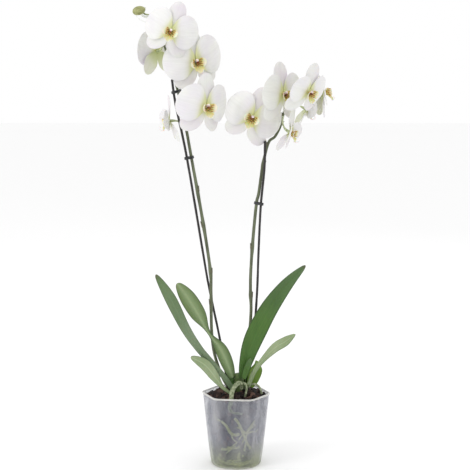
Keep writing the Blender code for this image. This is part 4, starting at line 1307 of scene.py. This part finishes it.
for clip_name in CLIP_HEIGHTS:
    clip_place, clip_half, clip_hold = clip_frame(clip_name)
    clip_bm = bmesh.new()
    clip_ring = bmesh.ops.create_circle(clip_bm, segments=40, radius=clip_hold + CLIP_WALL)["verts"]
    for vert in clip_ring:
        vert.co.x += clip_half if vert.co.x > 0 else -clip_half
        vert.co.z = -CLIP_HEIGHT / 2
    clip_top, _ = extrude_ring(clip_bm, list(clip_bm.edges))
    bmesh.ops.translate(clip_bm, vec=(0, 0, CLIP_HEIGHT), verts=clip_top)
    bmesh.ops.recalc_face_normals(clip_bm, faces=clip_bm.faces)
    if clip_bm.faces[0].normal.dot(clip_bm.faces[0].calc_center_median()) < 0:
        bmesh.ops.reverse_faces(clip_bm, faces=clip_bm.faces)
    bmesh.ops.solidify(clip_bm, geom=clip_bm.faces, thickness=CLIP_WALL)
    for lean in (-1, 1):
        tab_out = clip_hold + CLIP_WALL + CLIP_TAB[1] / 2 - TAB_OVERLAP
        tab_turn = Matrix.Rotation(TAB_TURN * lean, 4, "Z") @ Matrix.Diagonal((*CLIP_TAB, 1))
        tab_place = Matrix.Translation((lean * TAB_APART, -tab_out, 0)) @ tab_turn
        bmesh.ops.create_cube(clip_bm, size=1.0, matrix=tab_place)
    bmesh.ops.transform(clip_bm, matrix=clip_place, verts=clip_bm.verts)
    clip = add_piece(clip_name + "_band", clip_bm, [CLIP], "clip_plastic", [clip_name])
    rounded = clip.modifiers.new("rounded", "BEVEL")
    rounded.width = CLIP_EDGE * MM
    rounded.segments = 2
    rounded.limit_method = "ANGLE"
print("clips:", len(CLIP_HEIGHTS))

# %% [markdown]
# ## Petals and sepals
#
# A moth orchid's flower has three narrow sepals behind, two broad petals in front of them and a small
# lip. Petal and sepal are the same kind of blade with other numbers: how long and wide it is, how full
# its outline is, how it leans and how far it sweeps back. The grid is turned into a rounded outline by
# squeezing its corners in, so no point is wasted outside the petal, and its edges get a soft ruffle.

# %% Petal outline
HUB_RADIUS = 3.2
TEPAL_THICKNESS = 0.9
PETAL_SKIN = 0.65
SWEEP = 0.0088
CUPPED_SEPAL_SWEEP = 0.4
GROOVE_WIDTH = 0.16
EDGE_WAVES = 11
TIP_WAVES = 9


def lobe_outline(s, t, waist, fullness):
    """Shares along and across a petal, for s from base to tip and t from edge to edge."""
    if s < 0.5:
        widen = math.sin(math.pi * s) ** fullness
        return s, t * lerp(waist, 1.0, widen)
    a = 2 * s - 1
    along = 0.5 + 0.5 * a * math.sqrt(1 - t * t / 2)
    return along, t * math.sqrt(1 - a * a / 2)


def lobe_place(lobe, forward, wander):
    """The rule that bends a grid into one petal or sepal, in the flower's own frame: it faces +Z."""
    angle = math.radians(lobe["angle"])
    outward = Vector((math.cos(angle), math.sin(angle), 0))
    sideways = Vector((-math.sin(angle), math.cos(angle), 0))
    waist = HUB_RADIUS * math.sin(lobe["spread"]) / lobe["half_width"]
    first, last = (math.radians(degrees) for degrees in lobe["lean"])

    def place(u, v):
        t = 1 - 2 * u
        along, width = lobe_outline(v, t, waist, lobe["fullness"])
        lean = lerp(first, last, along / 2)
        base = lerp(0.8, HUB_RADIUS * math.cos(lobe["spread"]), min(v * 12, 1.0))
        spot = outward * (base + lobe["length"] * along * math.cos(lean))
        spot += sideways * width * lobe["half_width"]
        rise = lobe["length"] * along * math.sin(lean)
        rise += lobe["cup"] * width * width * math.sin(math.pi * min(along, 0.5))
        hollow = math.exp(-((width / GROOVE_WIDTH) ** 2)) * math.sin(math.pi * min(along * 1.1, 1.0))
        rise -= lobe["groove"] * hollow
        edge = abs(t) ** 3 * min(1.0, 2 * along)
        rise += lobe["ruffle"] * edge * math.sin(EDGE_WAVES * along + wander + (2 if t > 0 else 0))
        rise += 0.5 * lobe["ruffle"] * max(along - 0.8, 0.0) * 5 * math.sin(TIP_WAVES * t + wander)
        spot.z = forward + rise - lobe["sweep"] * spot.x**2
        return spot

    return place


# Spread is how wide the claw sits on the hub, fullness how soon the outline widens (less is sooner), and
# lean the tilt in degrees from base to tip. The other numbers are in mm, and the angles are in degrees
# round the flower, from its right.
UPPER_ANGLE = (90,)
SIDE_ANGLES = (231, 309)
PETAL_ANGLES = (13, 167)
EAR_ANGLES = (-4, 184)
SEPAL_LOBE = dict(spread=math.radians(38), fullness=1.0, lean=(-3, -12))
SEPAL_LOBE.update(length=48.0, half_width=15.5, cup=-1.0, groove=0.35, ruffle=0.5)
SIDE_SEPAL_LOBE = dict(SEPAL_LOBE, length=45.12, half_width=14.725)
PETAL_LOBE = dict(spread=math.radians(52), fullness=0.62, lean=(8, 0))
PETAL_LOBE.update(length=43.0, half_width=29.0, cup=-1.0, groove=0.45, ruffle=0.9)


def lobes(shape, angles, size, sweep=0.0):
    """One lobe of this shape at each angle round the flower, sized with it and swept back."""
    grown = dict(shape, length=shape["length"] * size, half_width=shape["half_width"] * size, sweep=sweep)
    return [dict(grown, angle=angle) for angle in angles]


print("petal outline ready")

# %% [markdown]
# ## The lip and the column
#
# The lip is the landing place: two small lobes stand up like ears, the middle lobe is an arrow head that
# bends forward and ends in two curled threads, and a spotted knob sits where they meet. Above it the
# column, a waxy white peg, holds the pollen under its cap. The lobes are blades, the threads and the
# column are stalks, and the knob is a few spheres that run into each other.

# %% Lip outline
LIP_LENGTH = 19.0
EAR_LOBE = dict(spread=math.radians(30), fullness=0.8, lean=(72, 22))
EAR_LOBE.update(length=14.82, half_width=6.6, cup=2.4, groove=0.0, ruffle=0.3)
# Half width of the middle lobe, in mm, at places from its base to its tip.
ARROW = [(0.0, 2.6), (0.2, 2.8), (0.42, 4.2), (0.58, 7.4), (0.72, 6.6), (0.88, 3.2), (1.0, 1.0)]
ARROW_LEAN = (66, 22)
ARROW_SHARE = 0.95
THREAD = [(0.4, 0, 0), (1.2, -1.6, 2.2), (2.8, -1.4, 5.6), (5.0, 0.8, 8.6), (6.4, 4.4, 9.2), (6.0, 7.4, 7.4)]
THREAD_START = (0, -14.4, 12.4)
SHORT_THREAD = 0.6
COLUMN_PATH = [
    (0, 0.6, 1.6, 2.2), (0, 1.6, 3.6, 2.0), (0, 2.6, 6.0, 2.2), (0, 3.0, 8.0, 2.3), (0, 2.2, 9.6, 1.3),
]
# Round knobs: x, y, z and radius in mm. The dark ones fill the hollow under the column's cap with dark
# red-brown, which is partly the hollow's own colour and partly painted shade of the hollow.
KNOBS = [(-1.3, -3.0, 8.2, 1.5), (1.3, -3.0, 8.2, 1.5), (0, -3.4, 6.0, 2.0)]
DARK_KNOBS = [(0, 0.2, 8.0, 1.7), (0, -1.0, 7.0, 1.8)]
THREAD_RADIUS = 0.55
THREAD_SIDES = 8
COLUMN_SIDES = 16
EAR_GRID = (10, 12)
EAR_SKIN = 0.55
ARROW_GRID = (10, 20)
ARROW_SKIN = 0.6


def table_value(table, place):
    for (near, first), (far, last) in zip(table, table[1:]):
        if place <= far:
            share = (place - near) / (far - near)
            return lerp(first, last, share * share * (3 - 2 * share))
    return table[-1][1]


def arrow_place(size, forward):
    def place(u, v):
        t = 1 - 2 * u
        lean = math.radians(lerp(*ARROW_LEAN, v / 2))
        reach = 2.4 + LIP_LENGTH * ARROW_SHARE * v * math.cos(lean) * size
        rise = LIP_LENGTH * ARROW_SHARE * v * math.sin(lean) * size
        width = table_value(ARROW, v) * size
        rise += (0.34 * t * t - 0.16 * math.exp(-((t / 0.18) ** 2))) * width
        return Vector((t * width, -reach, forward + rise))

    return place


def sized(path, size, radius=None):
    """A path in a flower's frame, sized with the flower. A radius that is given halves on the way."""
    grown = [tuple(value * size for value in point) for point in path]
    if radius is None:
        return grown
    last = len(path) - 1
    return [point + (lerp(radius, radius / 2, i / last),) for i, point in enumerate(grown)]


def add_lip(bm, size, thread_share):
    """Ears take material 0, the arrow 1, the knobs 2, threads and column 3, and the dark knobs 4."""
    forward = 2 * (TEPAL_THICKNESS + GAP)
    for lobe in lobes(dict(EAR_LOBE, cup=EAR_LOBE["cup"] * size), EAR_ANGLES, size):
        blade(bm, *EAR_GRID, lobe_place(lobe, forward, 0.4), EAR_SKIN)
    blade(bm, *ARROW_GRID, arrow_place(size, forward), ARROW_SKIN, back_material=1, front_material=1)
    for mirror in (-1, 1):
        thread = [Vector((x * mirror, y, z)) * thread_share + Vector(THREAD_START) for x, y, z in THREAD]
        sweep(bm, smooth_path(sized(thread, size, THREAD_RADIUS), 4), THREAD_SIDES, look=3)
    sweep(bm, smooth_path(sized(COLUMN_PATH, size), 3), COLUMN_SIDES, look=3)
    for knobs, look in ((KNOBS, 2), (DARK_KNOBS, 4)):
        for x, y, z, radius in knobs:
            place = Matrix.Translation(Vector((x, y, z)) * size)
            made = bmesh.ops.create_uvsphere(
                bm, u_segments=12, v_segments=8, radius=radius * size, matrix=place
            )
            for face in {face for vert in made["verts"] for face in vert.link_faces}:
                face.material_index = look


print("lip parts: 2 ears, 1 arrow,", len(KNOBS + DARK_KNOBS), "knobs, 2 threads and a column")

# %% [markdown]
# ## Eleven flowers
#
# Each flower has its own place, turn, nod and roll, a size, and how open it is: the cupped ones are just
# past bud. Its stalk leaves the back of the hub and bends to its own joint on the spike. All three pieces
# of a flower are made in the flower's own frame and then carried to their place by one matrix.

# %% Flower places
# x, y, z above the rim in mm, turn to the right, nod down and roll clockwise in degrees, size, the petals'
# share of it, how open it is, and the height above the rim of its joint on the spike.
FLOWERS = {
    "flower_left_1": (-104.5, -45, 610, -2, 4, 20, 0.98, 1.0, 1.0, 584),
    "flower_left_2": (-65.5, -17, 560, 22, 6, -12, 1.1, 1.05, 1.0, 541),
    "flower_left_3": (-48.5, -56, 490, 32, 4, 4, 1.08, 1.0, 1.0, 480),
    "flower_left_4": (-110, 12, 460, -80, 10, 0, 0.86, 0.7, -1.6, 455),
    "flower_left_5": (-131, 40, 574, -150, 0, 0, 0.97, 1.0, 1.0, 588),
    "flower_right_1": (26.5, -12, 468, -4, 4, 25, 1.08, 1.0, 1.0, 420),
    "flower_right_2": (76, -32, 508, 44, 0, -2, 1.06, 0.95, 0.35, 455),
    "flower_right_3": (116, -70, 515, 40, 22, 4, 0.95, 0.86, 0.6, 493),
    "flower_right_4": (143, 2, 508, 98, -10, 0, 0.98, 0.9, 0.6, 498),
    "flower_right_5": (117, 10, 480, 96, 20, 0, 0.82, 0.7, -1.6, 490),
    "flower_right_6": (88, -39, 447, 66, 16, 0, 0.8, 0.65, -1.6, 468),
}
FACE_FORWARD = Matrix.Rotation(math.radians(90), 4, "X")
PEDICEL_RADIUS = 1.5
PEDICEL_REACH = 16.0
PEDICEL_STEPS = 14
PEDICEL_SIDES = 12
SEPAL_GRID = (12, 20)
PETAL_GRID = (20, 22)
JOINT_PROBE = 3.0
LEAST_SQUARE = 0.1


def flower_frame(place):
    """The matrix that turns, nods and rolls a flower made facing +Z and carries it to its place."""
    placed = Matrix.Translation(above_rim(place[:3]))
    for degrees, axis in zip(place[3:6], "ZXY"):
        placed = placed @ Matrix.Rotation(math.radians(degrees), 4, axis)
    return placed @ FACE_FORWARD


def pedicel_path(placed, spike, height, steps):
    """From the back of the hub, curving to the spike, in the flower's own frame."""
    joint = at_height(spike, height)
    near = at_height(spike, height - JOINT_PROBE)
    root = placed.inverted() @ Vector(joint[:3])
    along = (root - placed.inverted() @ Vector(near[:3])).normalized()
    start = Vector((0, 0, -TEPAL_THICKNESS))
    handle = start + Vector((0, 0, -min(0.45 * (root - start).length, PEDICEL_REACH)))
    toward = (root - handle).normalized()
    slope = abs(toward.dot(along))
    square = math.sqrt(max(1 - slope * slope, LEAST_SQUARE))
    root = root - toward * (joint[3] + GAP + PEDICEL_RADIUS * slope) / square
    points = [(0, 0, -0.2, HUB_RADIUS)]
    for k in range(1, steps + 1):
        t = k / steps
        bent = start.lerp(handle, t).lerp(handle.lerp(root, t), t)
        with_rib_and_highlight = 1 + 0.05 * math.sin(7 * t)
        radius = lerp(HUB_RADIUS * 0.9, PEDICEL_RADIUS, min(1.0, t * 2.4)) * with_rib_and_highlight
        points.append(tuple(bent) + (radius,))
    return points


def add_flower(name, number, place):
    size, petal_share, openness, joint_height = place[6:]
    placed = flower_frame(place)
    spike = spike_path("spike_" + name.split("_")[1], 2)
    sepal_sweep = SWEEP * (openness if openness > 0 else CUPPED_SEPAL_SWEEP)
    sepals = bmesh.new()
    upper = lobes(SEPAL_LOBE, UPPER_ANGLE, size, sepal_sweep)
    sides = lobes(SIDE_SEPAL_LOBE, SIDE_ANGLES, size, sepal_sweep)
    for k, lobe in enumerate(upper + sides):
        blade(sepals, *SEPAL_GRID, lobe_place(lobe, 0.0, number + 2.1 * k), PETAL_SKIN, back_material=1)
    sweep(sepals, pedicel_path(placed, spike, joint_height, PEDICEL_STEPS), PEDICEL_SIDES, look=2)
    petals = bmesh.new()
    for k, lobe in enumerate(lobes(PETAL_LOBE, PETAL_ANGLES, size * petal_share, SWEEP * openness)):
        rule = lobe_place(lobe, TEPAL_THICKNESS + GAP, 1.3 * number + 2.6 * k)
        blade(petals, *PETAL_GRID, rule, PETAL_SKIN)
    lip = bmesh.new()
    add_lip(lip, size, 1.0 if openness < 0 else SHORT_THREAD)
    whole = (
        ("_sepals", "_sepals_and_stalk", sepals, (SEPAL, SEPAL_BACK, STALK), "petal_white"),
        ("_petals", "_petal_pair", petals, (PETAL,), "petal_white"),
        ("_lip", "_lip_and_column", lip, (LIP_SIDE, LIP_MIDDLE, CALLUS, COLUMN, HOLLOW_MARKS_AND_SHADE), "lip_yellow"),
    )
    for node, ending, bm, looks, slot in whole:
        bmesh.ops.transform(bm, matrix=placed, verts=bm.verts)
        add_piece(name + ending, bm, looks, slot, [name + node], smooth_levels=1)


for flower_number, (flower_name, flower_at) in enumerate(FLOWERS.items()):
    add_flower(flower_name, flower_number, flower_at)
print("flowers:", len(FLOWERS))

# %% [markdown]
# ## The last bud
#
# The tip of the left spike still holds one bud on a hooked stalk. Three sepals close it, so it has three
# shallow seams. A sphere drawn out along its length gives the bud, and points near a seam are sunk.

# %% Bud
BUD_STALK = [
    (-143.3, 12, 633.6, 1.4), (-140.2, 11.5, 639, 1.3), (-140.8, 11, 645, 1.3), (-144.6, 10, 648, 1.4),
    (-148.4, 9, 645.8, 1.8), (-151, 8.6, 643, 3.0),
]
BUD_MIDDLE = (-158.6, 7.8, 641.4)
BUD_HALF = (10.8, 7.6, 7.4)
BUD_TILT = math.radians(-14)
bud_bm = bmesh.new()
bmesh.ops.create_uvsphere(bud_bm, u_segments=36, v_segments=24, radius=1.0)
for vert in bud_bm.verts:
    round_turn = math.atan2(vert.co.y, vert.co.x)
    off_seam = min(abs(math.remainder(round_turn - seam, 2 * math.pi)) for seam in (0.4, 2.5, 4.6))
    sink = 0.09 * math.exp(-((off_seam / 0.16) ** 2)) * (1 - abs(vert.co.z) ** 3)
    point = 1 + 0.05 * vert.co.z
    around = Vector((vert.co.x, vert.co.y, 0)) * (1 - sink) * point
    vert.co = Vector((vert.co.z * BUD_HALF[0] * -1, around.y * BUD_HALF[1], around.x * BUD_HALF[2]))
bud_turn = Matrix.Translation(above_rim(BUD_MIDDLE)) @ Matrix.Rotation(BUD_TILT, 4, "Y")
bmesh.ops.transform(bud_bm, matrix=bud_turn, verts=bud_bm.verts)
bmesh.ops.recalc_face_normals(bud_bm, faces=bud_bm.faces)
sweep(bud_bm, [above_rim(point) for point in smooth_path(BUD_STALK, 4)], 12, look=1)
add_piece("bud_and_stalk", bud_bm, [BUD_SKIN, STALK], "bud_green", ["bud_left"], smooth_levels=1)
print("bud made")
